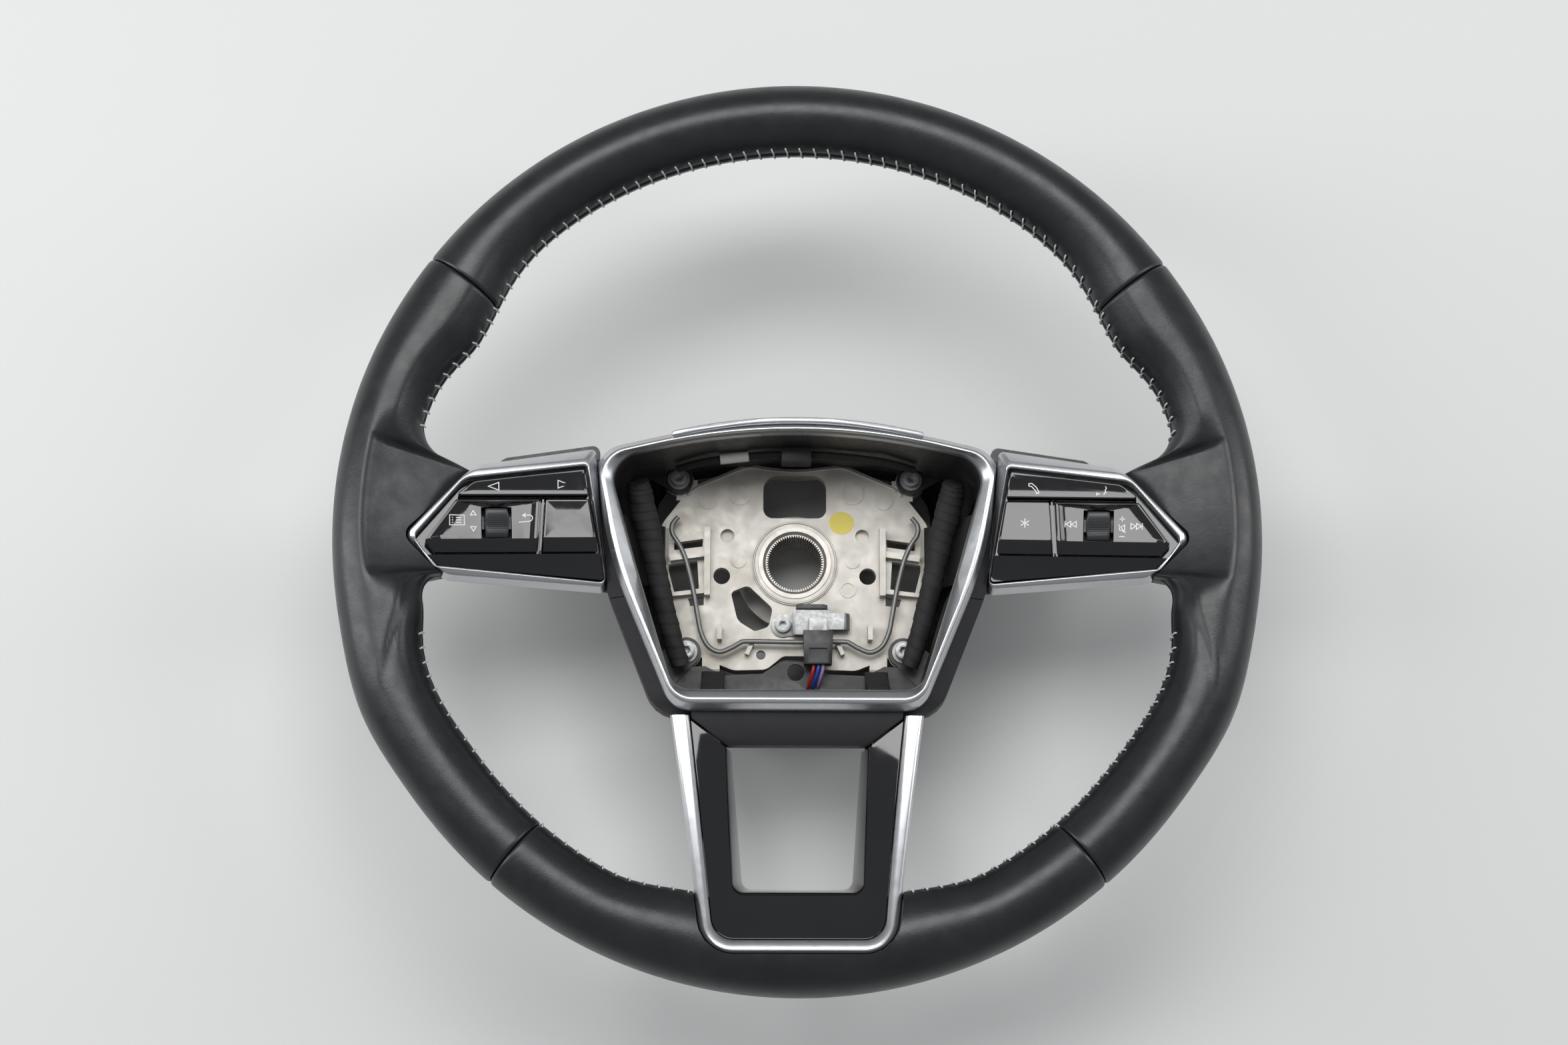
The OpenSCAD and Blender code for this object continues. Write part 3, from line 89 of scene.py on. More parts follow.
PLATE = [[12, -46, 6], [26, -46.4, 8], [42, -40, 10], [54.6, -34, 8], [59.4, -6, 16],
         [58, 16, 14], [45, 33, 12], [21, 43.6, 16], [0, 40.8, 60], [-21, 43.6, 16],
         [-45, 33, 12], [-58, 16, 14], [-59.4, -6, 16], [-54.6, -34, 8], [-42, -40, 10],
         [-26, -46.4, 8], [-12, -46, 6], [-5, -40.2, 4], [5, -40.2, 4]]


# Materials

class Surface:
    """A principled material built from object-space textures."""

    def __init__(self, name, base, rough, metal=0.0, coat=0.0, specular=0.5):
        self.material = bpy.data.materials.new(name)
        self.material.use_nodes = True
        self.tree = self.material.node_tree
        self.tree.nodes.clear()
        self.base, self.rough = base, rough
        out = self.node("ShaderNodeOutputMaterial")
        self.shader = self.node("ShaderNodeBsdfPrincipled")
        self.link(self.shader.outputs["BSDF"], out.inputs["Surface"])
        self.place = self.node("ShaderNodeTexCoord").outputs["Object"]
        self.shader.inputs["Base Color"].default_value = (*base, 1)
        self.shader.inputs["Roughness"].default_value = rough
        self.shader.inputs["Metallic"].default_value = metal
        self.shader.inputs["Coat Weight"].default_value = coat
        self.shader.inputs["Coat Roughness"].default_value = 0.04
        self.shader.inputs["Specular IOR Level"].default_value = specular
        self.normal = None

    def node(self, kind):
        return self.tree.nodes.new(kind)

    def link(self, a, b):
        self.tree.links.new(a, b)

    def noise(self, scale, detail=3.0, rough=0.55):
        n = self.node("ShaderNodeTexNoise")
        n.inputs["Scale"].default_value = scale
        n.inputs["Detail"].default_value = detail
        n.inputs["Roughness"].default_value = rough
        self.link(self.place, n.inputs["Vector"])
        return n.outputs["Fac"]

    def cells(self, scale, feature="F1"):
        n = self.node("ShaderNodeTexVoronoi")
        n.feature = feature
        n.inputs["Scale"].default_value = scale
        self.link(self.place, n.inputs["Vector"])
        return n.outputs["Distance"]

    def rings(self, scale, distortion=0.0):
        n = self.node("ShaderNodeTexWave")
        n.wave_type = "RINGS"
        n.rings_direction = "Z"
        n.inputs["Scale"].default_value = scale
        n.inputs["Distortion"].default_value = distortion
        self.link(self.place, n.inputs["Vector"])
        return n.outputs["Fac"]

    def bands(self, scale, axis="Y", distortion=0.0):
        n = self.node("ShaderNodeTexWave")
        n.wave_type = "BANDS"
        n.bands_direction = axis
        n.inputs["Scale"].default_value = scale
        n.inputs["Distortion"].default_value = distortion
        self.link(self.place, n.inputs["Vector"])
        return n.outputs["Fac"]

    def spread(self, fac, low, high, to_low=0.0, to_high=1.0):
        n = self.node("ShaderNodeMapRange")
        n.inputs["From Min"].default_value = low
        n.inputs["From Max"].default_value = high
        n.inputs["To Min"].default_value = to_low
        n.inputs["To Max"].default_value = to_high
        self.link(fac, n.inputs["Value"])
        return n.outputs["Result"]

    def tint(self, fac, other):
        n = self.node("ShaderNodeMix")
        n.data_type = "RGBA"
        n.inputs[6].default_value = (*self.base, 1)
        n.inputs[7].default_value = (*other, 1)
        self.link(fac, n.inputs[0])
        self.link(n.outputs[2], self.shader.inputs["Base Color"])
        return self

    def gloss(self, fac, low, high):
        self.link(self.spread(fac, 0.3, 0.7, low, high), self.shader.inputs["Roughness"])
        return self

    def relief(self, height, depth_mm, strength=1.0):
        n = self.node("ShaderNodeBump")
        n.inputs["Strength"].default_value = strength
        n.inputs["Distance"].default_value = depth_mm * MM
        self.link(height, n.inputs["Height"])
        if self.normal is not None:
            self.link(self.normal, n.inputs["Normal"])
        self.normal = n.outputs["Normal"]
        self.link(self.normal, self.shader.inputs["Normal"])
        return self


def make_materials():
    made = {}

    s = Surface("leather", (0.0095, 0.0105, 0.012), 0.34, specular=0.5)
    s.tint(s.spread(s.noise(60, 4), 0.35, 0.75), (0.015, 0.0165, 0.019))
    s.gloss(s.noise(140, 4), 0.29, 0.4)
    s.relief(s.cells(1150, "DISTANCE_TO_EDGE"), 0.22, 0.14)
    s.relief(s.noise(520, 5), 0.25, 0.17)
    s.relief(s.noise(46, 2), 1.0, 0.12)
    made["leather"] = s.material

    s = Surface("thread", (0.55, 0.56, 0.55), 0.7)
    s.tint(s.noise(900), (0.42, 0.43, 0.43)).relief(s.noise(4200, 2), 0.1, 0.6)
    made["thread"] = s.material

    s = Surface("foam", (0.03, 0.03, 0.032), 0.85)
    s.tint(s.noise(200), (0.05, 0.05, 0.052)).relief(s.noise(1500), 0.2, 0.5)
    made["foam"] = s.material

    s = Surface("satin_silver", (0.6, 0.615, 0.635), 0.3, metal=0.92)
    s.tint(s.noise(90, 2), (0.64, 0.65, 0.665)).gloss(s.noise(240), 0.27, 0.34)
    s.relief(s.noise(2600, 2), 0.02, 0.07)
    made["satin_silver"] = s.material

    s = Surface("black_matt", (0.017, 0.017, 0.019), 0.6, specular=0.4)
    s.tint(s.noise(70), (0.027, 0.027, 0.029)).gloss(s.noise(300), 0.52, 0.66)
    s.relief(s.noise(2300, 3), 0.12, 0.35)
    made["black_matt"] = s.material

    s = Surface("black_plastic", (0.014, 0.014, 0.015), 0.38, specular=0.5)
    s.tint(s.noise(120), (0.022, 0.022, 0.024)).gloss(s.noise(260), 0.32, 0.46)
    s.relief(s.noise(1700, 2), 0.06, 0.3)
    made["black_plastic"] = s.material

    s = Surface("black_gloss", (0.006, 0.006, 0.007), 0.06, coat=0.5)
    s.tint(s.noise(50), (0.009, 0.009, 0.011)).gloss(s.noise(130, 2), 0.04, 0.09)
    s.relief(s.noise(120, 1), 0.02, 0.1)
    made["black_gloss"] = s.material

    s = Surface("key_black", (0.007, 0.007, 0.008), 0.08, coat=0.4)
    s.tint(s.noise(80), (0.011, 0.011, 0.012)).gloss(s.noise(200, 3), 0.05, 0.12)
    s.relief(s.noise(160, 1), 0.02, 0.12)
    made["key_black"] = s.material

    s = Surface("cast_alloy", (0.6, 0.575, 0.525), 0.46, metal=0.35)
    s.tint(s.spread(s.noise(42, 6, 0.62), 0.48, 0.78), (0.4, 0.365, 0.31))
    s.gloss(s.noise(160, 5), 0.4, 0.58)
    s.relief(s.noise(800, 4), 0.06, 0.25)
    s.relief(s.noise(90, 3), 0.25, 0.1)
    made["cast_alloy"] = s.material

    s = Surface("boss_steel", (0.5, 0.485, 0.45), 0.38, metal=0.7)
    s.tint(s.spread(s.noise(160, 4), 0.4, 0.8), (0.32, 0.29, 0.25))
    s.relief(s.rings(785), 0.05, 0.25)
    made["boss_steel"] = s.material

    s = Surface("zinc_steel", (0.38, 0.385, 0.39), 0.38, metal=0.7)
    s.tint(s.noise(300), (0.29, 0.29, 0.285)).gloss(s.noise(700), 0.34, 0.5)
    s.relief(s.noise(1500), 0.03, 0.25)
    made["zinc_steel"] = s.material

    s = Surface("spring_steel", (0.2, 0.205, 0.2), 0.45, metal=0.6)
    s.tint(s.noise(200), (0.27, 0.27, 0.26)).relief(s.noise(1800), 0.03, 0.2)
    made["spring_steel"] = s.material

    s = Surface("loom_tape", (0.016, 0.016, 0.017), 0.72, specular=0.35)
    s.tint(s.noise(150, 4), (0.034, 0.033, 0.033))
    s.relief(s.noise(800, 4), 0.35, 0.5).relief(s.bands(1300, "DIAGONAL", 2), 0.08, 0.35)
    made["loom_tape"] = s.material

    s = Surface("white_sleeve", (0.74, 0.73, 0.69), 0.5)
    s.tint(s.noise(260), (0.66, 0.65, 0.6)).relief(s.noise(900), 0.06, 0.3)
    made["white_sleeve"] = s.material

    s = Surface("roller_grey", (0.03, 0.031, 0.033), 0.36)
    s.tint(s.noise(300), (0.042, 0.043, 0.045)).relief(s.noise(2400), 0.03, 0.3)
    made["roller_grey"] = s.material

    s = Surface("print_white", (0.8, 0.8, 0.8), 0.4)
    s.tint(s.noise(900), (0.72, 0.72, 0.72))
    made["print_white"] = s.material

    for name, base in (("lead_red", (0.42, 0.02, 0.03)), ("lead_blue", (0.02, 0.08, 0.42)),
                       ("lead_violet", (0.36, 0.22, 0.5)), ("lead_green", (0.02, 0.2, 0.05)),
                       ("lead_yellow", (0.75, 0.55, 0.03))):
        s = Surface(name, base, 0.35)
        s.tint(s.noise(500), tuple(0.8 * c for c in base)).relief(s.noise(1500), 0.03, 0.25)
        made[name] = s.material

    s = Surface("paper_dot", (0.86, 0.72, 0.16), 0.65)
    s.tint(s.noise(250), (0.8, 0.66, 0.14)).relief(s.noise(1400), 0.04, 0.4)
    made["paper_dot"] = s.material

    s = Surface("floor", (0.66, 0.66, 0.655), 0.75)
    s.tint(s.noise(3), (0.68, 0.68, 0.675))
    made["floor"] = s.material
    return made


MATERIALS = make_materials()
NODE_LOOK = {
    "armature": "cast_alloy", "hub_collar": "cast_alloy", "latch_rails": "cast_alloy",
    "side_arms": "cast_alloy", "lower_arms": "cast_alloy",
    "rim_core": "cast_alloy", "hub_boss": "boss_steel", "rim_foam": "foam",
    "leather_top": "leather", "leather_left": "leather", "leather_right": "leather",
    "leather_bottom": "leather", "stitching": "thread", "hub_bezel": "satin_silver",
    "carrier": "black_plastic", "carrier_screws": "zinc_steel", "carrier_washers": "zinc_steel",
    "lower_cover": "black_matt", "lower_spoke_trim": "satin_silver",
    "lower_spoke_insert": "black_gloss", "rear_cover": "black_matt",
    "spring_wire": "spring_steel", "contact_clip": "zinc_steel", "clip_screw": "zinc_steel",
    "clip_block": "black_plastic", "connector": "black_plastic", "connector_tab": "zinc_steel",
    "connector_leads": "lead_blue", "left_loom": "loom_tape", "right_loom": "loom_tape",
    "top_loom": "loom_tape", "loom_sleeve": "white_sleeve", "top_bracket": "black_plastic",
    "paddle_pins": "zinc_steel",
}
for side_name in ("left", "right"):
    NODE_LOOK[side_name + "_pod_bezel"] = "satin_silver"
    NODE_LOOK[side_name + "_pod_housing"] = "black_gloss"
    for key_name in ("rocker", "frame_key", "single_key"):
        NODE_LOOK[side_name + "_" + key_name] = "key_black"
    NODE_LOOK[side_name + "_roller_cradle"] = "black_plastic"
    NODE_LOOK[side_name + "_roller"] = "roller_grey"
    NODE_LOOK[side_name + "_paddle"] = "black_plastic"


# Meshes

def finish_mesh(mesh, angle=35.0):
    """Outward normals, smooth faces, sharp edges where the surface turns by more than angle."""
    work = bmesh.new()
    work.from_mesh(mesh)
    bmesh.ops.recalc_face_normals(work, faces=work.faces)
    limit = math.radians(angle)
    for edge in work.edges:
        edge.smooth = len(edge.link_faces) != 2 or edge.calc_face_angle(0.0) < limit
    for face in work.faces:
        face.smooth = True
    work.to_mesh(mesh)
    work.free()


def piece(name, points, faces, look, body="wheel", stands_for=(), angle=35.0):
    """A mesh in millimetres that rides on a body."""
    mesh = bpy.data.meshes.new(name)
    mesh.from_pydata([tuple(float(c) * MM for c in p) for p in points], [], faces)
    finish_mesh(mesh, angle)
    obj = bpy.data.objects.new(name, mesh)
    bpy.context.scene.collection.objects.link(obj)
    obj.data.materials.append(MATERIALS[look])
    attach(obj, body)
    if stands_for:
        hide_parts(*stands_for)
    return obj


def grid(rows, cols, closed=False, base=0):
    last = rows if closed else rows - 1
    return [(base + j * cols + i, base + ((j + 1) % rows) * cols + i,
             base + ((j + 1) % rows) * cols + (i + 1) % cols, base + j * cols + (i + 1) % cols)
            for j in range(last) for i in range(cols)]


def unit(v):
    v = np.asarray(v, float)
    return v / np.linalg.norm(v)


def corner_arc(p, q, s, n):
    """Points of a true arc at corner q between its neighbours p and s."""
    p, s, at = np.array(p[:2], float), np.array(s[:2], float), np.array(q[:2], float)
    u, v = unit(p - at), unit(s - at)
    half = math.acos(max(-1, min(1, float(u @ v)))) / 2
    if half > math.radians(89.9):
        return [at + u * (0.5 - k / n) for k in range(n + 1)]
    centre = at + unit(u + v) * q[2] / math.sin(half)
    start = at + u * q[2] / math.tan(half) - centre
    end = at + v * q[2] / math.tan(half) - centre
    return [centre + q[2] * unit(start * (1 - k / n) + end * k / n) for k in range(n + 1)]


def rounded(corners, n=14):
    count = len(corners)
    return np.array([p for i in range(count)
                     for p in corner_arc(corners[i - 1], corners[i], corners[(i + 1) % count], n)])


def grown(corners, d):
    made = []
    for i, q in enumerate(corners):
        at = np.array(q[:2], float)
        u = unit(np.array(corners[i - 1][:2], float) - at)
        v = unit(np.array(corners[(i + 1) % len(corners)][:2], float) - at)
        half = math.acos(max(-1, min(1, float(u @ v)))) / 2
        turn = 1 if v[0] * u[1] - v[1] * u[0] > 0 else -1
        out = at - unit(u + v) * turn * d / math.sin(half)
        made.append([out[0], out[1], max(0.2, q[2] + turn * d)])
    return made


def at_z(outline, z):
    return np.column_stack([outline, np.full(len(outline), z) if np.isscalar(z) else z])


def softened(loops, radii, steps=4, closed=True):
    """Each loop is swapped for a few that round its edge over the given length."""
    made = []
    count = len(loops)
    for i, (loop, radius) in enumerate(zip(loops, radii)):
        if radius <= 0 or (not closed and i in (0, count - 1)):
            made.append(loop)
            continue
        before, after = loops[i - 1] - loop, loops[(i + 1) % count] - loop
        a = np.linalg.norm(before, axis=1, keepdims=True)
        b = np.linalg.norm(after, axis=1, keepdims=True)
        start = loop + before * np.minimum(0.48, radius / a)
        end = loop + after * np.minimum(0.48, radius / b)
        for k in range(steps + 1):
            t = k / steps
            made.append((1 - t) ** 2 * start + 2 * t * (1 - t) * loop + t * t * end)
    return made


def hoop(name, loops, look, **more):
    rows, cols = len(loops), len(loops[0])
    return piece(name, np.concatenate(loops), grid(rows, cols, closed=True), look, **more)


def capped(name, loops, look, **more):
    rows, cols = len(loops), len(loops[0])
    faces = grid(rows, cols) + [tuple(range(cols - 1, -1, -1)),
                                tuple(range((rows - 1) * cols, rows * cols))]
    return piece(name, np.concatenate(loops), faces, look, **more)


def cutter(outline, z0, z1, place=lambda p: p):
    """A prism that cuts the pieces it is given to."""
    loops = [place(at_z(outline, z0)), place(at_z(outline, z1))]
    cols = len(outline)
    mesh = bpy.data.meshes.new("cutter")
    faces = grid(2, cols) + [tuple(range(cols - 1, -1, -1)), tuple(range(cols, 2 * cols))]
    mesh.from_pydata([tuple(float(c) * MM for c in p) for p in np.concatenate(loops)], [], faces)
    finish_mesh(mesh)
    obj = bpy.data.objects.new("cutter", mesh)
    bpy.context.scene.collection.objects.link(obj)
    return obj


def cut(obj, cutters, angle=35.0):
    for c in cutters:
        modifier = obj.modifiers.new("cut", "BOOLEAN")
        modifier.operation = "DIFFERENCE"
        modifier.solver = "EXACT"
        modifier.object = c
    graph = bpy.context.evaluated_depsgraph_get()
    mesh = bpy.data.meshes.new_from_object(obj.evaluated_get(graph))
    obj.modifiers.clear()
    obj.data = mesh
    finish_mesh(mesh, angle)


def pod_frame(side):
    tilt, yaw = math.radians(10), math.radians(2.6)
    turn = np.array(Matrix.Rotation(tilt, 3, "Y") @ Matrix.Rotation(yaw, 3, "Z"))

    def place(points):
        out = np.asarray(points, float) @ turn.T + [-118, 0, POD_Z]
        return out * [1 if side < 0 else -1, 1, 1]
    return place


def tube_mesh(route, radii, sides=8, twist=None):
    """Points and faces of a round bar along a route."""
    route = np.asarray(route, float)
    count = len(route)
    points = []
    frame_u = None
    for i in range(count):
        d = unit(route[min(i + 1, count - 1)] - route[max(i - 1, 0)])
        if frame_u is None:
            frame_u = unit(np.cross(d, [1, 0, 0] if abs(d[2]) > 0.9 else [0, 0, 1]))
        frame_u = unit(frame_u - d * (frame_u @ d))
        v = np.cross(d, frame_u)
        for k in range(sides):
            angle = 2 * math.pi * k / sides
            r = radii[min(i, len(radii) - 1)]
            if twist is not None:
                r = r + twist(i, angle)
            points.append(route[i] + r * (frame_u * math.cos(angle) + v * math.sin(angle)))
    faces = grid(count, sides)
    faces += [tuple(range(sides - 1, -1, -1)), tuple(range((count - 1) * sides, count * sides))]
    return points, faces


def finer(route, radii, steps):
    """A smooth curve through a route's points, with its radii."""
    route = np.asarray(route, float)
    radii = np.asarray([radii[min(i, len(radii) - 1)] for i in range(len(route))], float)
    made, sizes = [], []
    for i in range(len(route) - 1):
        p0, p1 = route[max(i - 1, 0)], route[i]
        p2, p3 = route[i + 1], route[min(i + 2, len(route) - 1)]
        for k in range(steps):
            t = k / steps
            made.append(0.5 * (2 * p1 + (p2 - p0) * t + (2 * p0 - 5 * p1 + 4 * p2 - p3) * t * t
                               + (3 * p1 - p0 - 3 * p2 + p3) * t ** 3))
            sizes.append(radii[i] * (1 - t) + radii[i + 1] * t)
    made.append(route[-1])
    sizes.append(radii[-1])
    return np.array(made), np.array(sizes)


def joined(parts):
    """Several meshes' points and faces as one."""
    points, faces = [], []
    for p, f in parts:
        base = len(points)
        points += list(p)
        faces += [tuple(base + i for i in face) for face in f]
    return points, faces


# Rim

def clamp01(x):
    return np.clip(x, 0, 1)


def ease(x):
    t = clamp01(x)
    return t * t * (3 - 2 * t)


def bump(x, middle, width):
    return np.exp(-((x - middle) / width) ** 2)


def mix(a, b, t):
    return a + (b - a) * t


def side_angle(a):
    m = np.mod(a, 360)
    return np.where((m > 90) & (m < 270), m, np.mod(540 - m, 360))


def rim_r(s):
    return RIM_D / 2 + 2 * bump(s, 204, 8)


def rim_w(s):
    swell = np.where(s < 149.5, bump(s, 149.5, 11), bump(s, 149.5, 7))
    return (mix(RIM_W_LOW, RIM_W_TOP, ease((np.sin(np.radians(s)) + 0.5) / 1.3)) + 7 * swell
            + 3.5 * bump(s, 192, 5) + 5 * ease((s - 242) / 14))


def fillet_r(d, h, f, r):
    x = np.sqrt((r - f) ** 2 - (h + f) ** 2)
    start = np.degrees(np.arctan2(h + f, x))
    foot = np.degrees(np.arctan2(h, x))
    along = x * np.cos(np.radians(d)) + (h + f) * np.sin(np.radians(d))
    arc = along + np.sqrt(np.maximum(0, f * f - (x * x + (h + f) ** 2 - along * along)))
    root = mix(x / np.cos(np.radians(foot)), 131.5, ease((foot - d) / 0.9))
    return np.where(d > start, r, np.where(d < foot, root, arc))


def inner_r(s):
    edge = rim_r(s) - rim_w(s)
    return np.where(s < 180, fillet_r(180 - s, 27.1, 12, edge), fillet_r(s - 180, 19.5, 10, edge))


def rim_point(a, t, o):
    """Points of the rim's surface, inset by o; a round the wheel and t round the section."""
    s = side_angle(a)
    half_w = rim_w(s) / 2
    middle = rim_r(s) - half_w
    inner = inner_r(s)
    c, h = np.cos(np.radians(t)), np.sin(np.radians(t))
    inward = c < 0
    k = clamp01((middle - inner - half_w) / 24)
    reach = np.where(inward, middle - inner, half_w) - o
    h = np.where(inward, np.sign(h) * np.abs(h) ** mix(1, 0.65, k), h)
    depth = np.where(inward, -c, 0)
    r = middle + reach * c
    z = (DISH - k * 20 * depth ** 0.7 + (RIM_T / 2 - o) * (1 - 0.45 * k * depth) * h)
    return np.stack([r * np.cos(np.radians(a)), r * np.sin(np.radians(a)) + RIM_DY, z], axis=-1)


def stitch_angles():
    upper = [14 + STITCH_PITCH * i for i in range(int(152 / STITCH_PITCH) + 1)]
    lower = [270 + sign * (16.6 + STITCH_PITCH * i) for i in range(28) for sign in (-1, 1)]
    return upper + lower


STITCHES = np.array(stitch_angles())


def creases(s, t):
    """Soft folds of the leather near the thumb rests and under the side spokes."""
    ridge = -0.55 * bump(t, 118 + 6 * np.sin(np.radians(4 * s)), 11) * ease((s - 138) / 10)
    ridge = ridge * ease((214 - s) / 14)
    fold_t = 150 - 4.2 * (s - 188)
    fold = 0.5 * bump(t, fold_t, 6) * ease((s - 186) / 3) * ease((204 - s) / 5)
    back = 0.3 * bump(t, fold_t - 13, 7) * ease((s - 188) / 3) * ease((206 - s) / 6)
    return ridge + fold - back


def leather_piece(name, start, end, cutters):
    margin = 0.05
    near = [0, 0.05, 0.12, 0.2, 0.3, 0.42, 0.58, 0.8]
    first, last = start + margin, end - margin
    middle = np.linspace(first + 1.1, last - 1.1, int((end - start - 2.2) / 0.31))
    stations = np.concatenate([[first + d for d in near], middle, [last - d for d in near[::-1]]])
    fine = [0, 1.6, 3.2, 5, 7, 9.5, 12.5, 16, 20, 25, 31]
    section = np.concatenate([np.arange(0, 148, 5.4), [180 - f for f in fine[::-1]],
                              [180 + f for f in fine[1:]], np.arange(212.8, 360, 5.4)])
    a, t = np.meshgrid(stations, section, indexing="ij")
    s = side_angle(a)
    across = np.radians(t - 180) * 15
    o = creases(s, t)
    seam = np.minimum(a - first, last - a) * math.pi / 180 * 170
    o = o + 1.05 * (1 - np.sqrt(1 - np.clip(1 - seam / 1.7, 0, 1) ** 2))
    o = o + 1.5 * np.clip(1 - np.abs(across) / 1.8, 0, 1) ** 1.5
    gap = np.min(np.abs(np.mod(a[..., None] - STITCHES + 180, 360) - 180), axis=-1)
    o = o + 0.28 * bump(gap * 2.7, 0, 1.1) * bump(np.abs(across), 4.4, 1.5)
    o = o + 0.12 * bump(gap * 2.7, 0, 1.2) * bump(np.abs(across), 2.2, 1.6)
    outer = rim_point(a, t, o)
    inner = rim_point(a, t, np.full_like(a, LEATHER_T + 0.2) + np.maximum(o, 0) * 0.3)
    rows, cols = a.shape
    base = rows * cols
    faces = grid(rows, cols) + [f[::-1] for f in grid(rows, cols, base=base)]
    for i in range(cols):
        j, e = (i + 1) % cols, (rows - 1) * cols
        faces.append((i, j, base + j, base + i))
        faces.append((e + j, e + i, base + e + i, base + e + j))
    points = np.concatenate([outer.reshape(-1, 3), inner.reshape(-1, 3)])
    obj = piece(name + "_skin", points, faces, "leather", stands_for=(name,), angle=50)
    if cutters:
        cut(obj, cutters, 50)
    return obj


def stitches():
    parts = []
    lean = 0.42
    half = [(-0.9, 17.4, 0.9), (-0.8, 16.4, 0.1), (-0.62, 14.6, -0.32), (-0.4, 11.5, -0.42),
            (-0.2, 8, -0.4), (-0.06, 5, -0.15), (0.0, 2, 0.7), (0.0, 0, 1.35)]
    for a in STITCHES:
        wobble = random.uniform(-0.05, 0.05)
        path = [(a - p * lean + wobble, 180 - t, o) for p, t, o in half]
        path += [(a + p * lean + wobble, 180 + t, o) for p, t, o in half[-2::-1]]
        points = [rim_point(np.array(x), np.array(t), np.array(o)) for x, t, o in path]
        parts.append(tube_mesh(points, [0.37], 7))
    points, faces = joined(parts)
    obj = piece("thread_run", points, faces, "thread", stands_for=("stitching",), angle=60)


def rim():
    pods = [cutter(rounded(grown(POD_OUT, 0.3), 8), -14.3, 30, pod_frame(side))
            for side in (-1, 1)]
    u_room = cutter(rounded([[52.2, U_START, 1], [37, U_FOOT - 0.3, 14],
                             [-37, U_FOOT - 0.3, 14], [-52.2, U_START, 1]], 10),
                    95, 140)
    leather_piece("leather_top", 36, 144, [])
    leather_piece("leather_left", 144, 230, [pods[0]])
    leather_piece("leather_bottom", 230, 310, [u_room])
    leather_piece("leather_right", 310, 396, [pods[1]])
    bpy.data.objects.remove(u_room)
    stitches()
    return pods


# Silver and gloss trim

def u_crest(y):
    return BEZEL_Z - 8 + 33 * clamp01((-66 - y) / 100) ** 1.6


def pod_fall(y):
    return np.where(y > FRONT_Y + 1, 0, (y - FRONT_Y - 1) * 0.55)


def leg(c, y):
    return [mix(c[0][0], c[1][0], (c[0][1] - y) / (c[0][1] - c[1][1])), y]


def widened(c, d):
    return [[c[0][0] + d, c[0][1]], [c[1][0] + d, c[1][1] - d, c[1][2] + d]]


def u_rail(c, top, drop, n=26):
    foot = c[1][1] + c[1][2] + 2
    half = [leg(c, mix(top, foot, i / (n - 1))) for i in range(n)]
    half += [list(p) for p in corner_arc(leg(c, top), c[1], [0, c[1][1]], 16)]
    both = half + [[-p[0], p[1]] for p in half[::-1]]
    return np.array([[p[0], p[1], float(u_crest(p[1])) + drop] for p in both])


def u_swept(name, rails, radii, look, stands_for):
    rails = softened(rails, radii, 4, closed=True)
    count, rows = len(rails), len(rails[0])
    points = [rails[i][j] for j in range(rows) for i in range(count)]
    faces = grid(rows, count)
    faces += [tuple(range(count - 1, -1, -1)), tuple(range((rows - 1) * count, rows * count))]
    obj = piece(name, points, faces, look, stands_for=stands_for)
    return obj


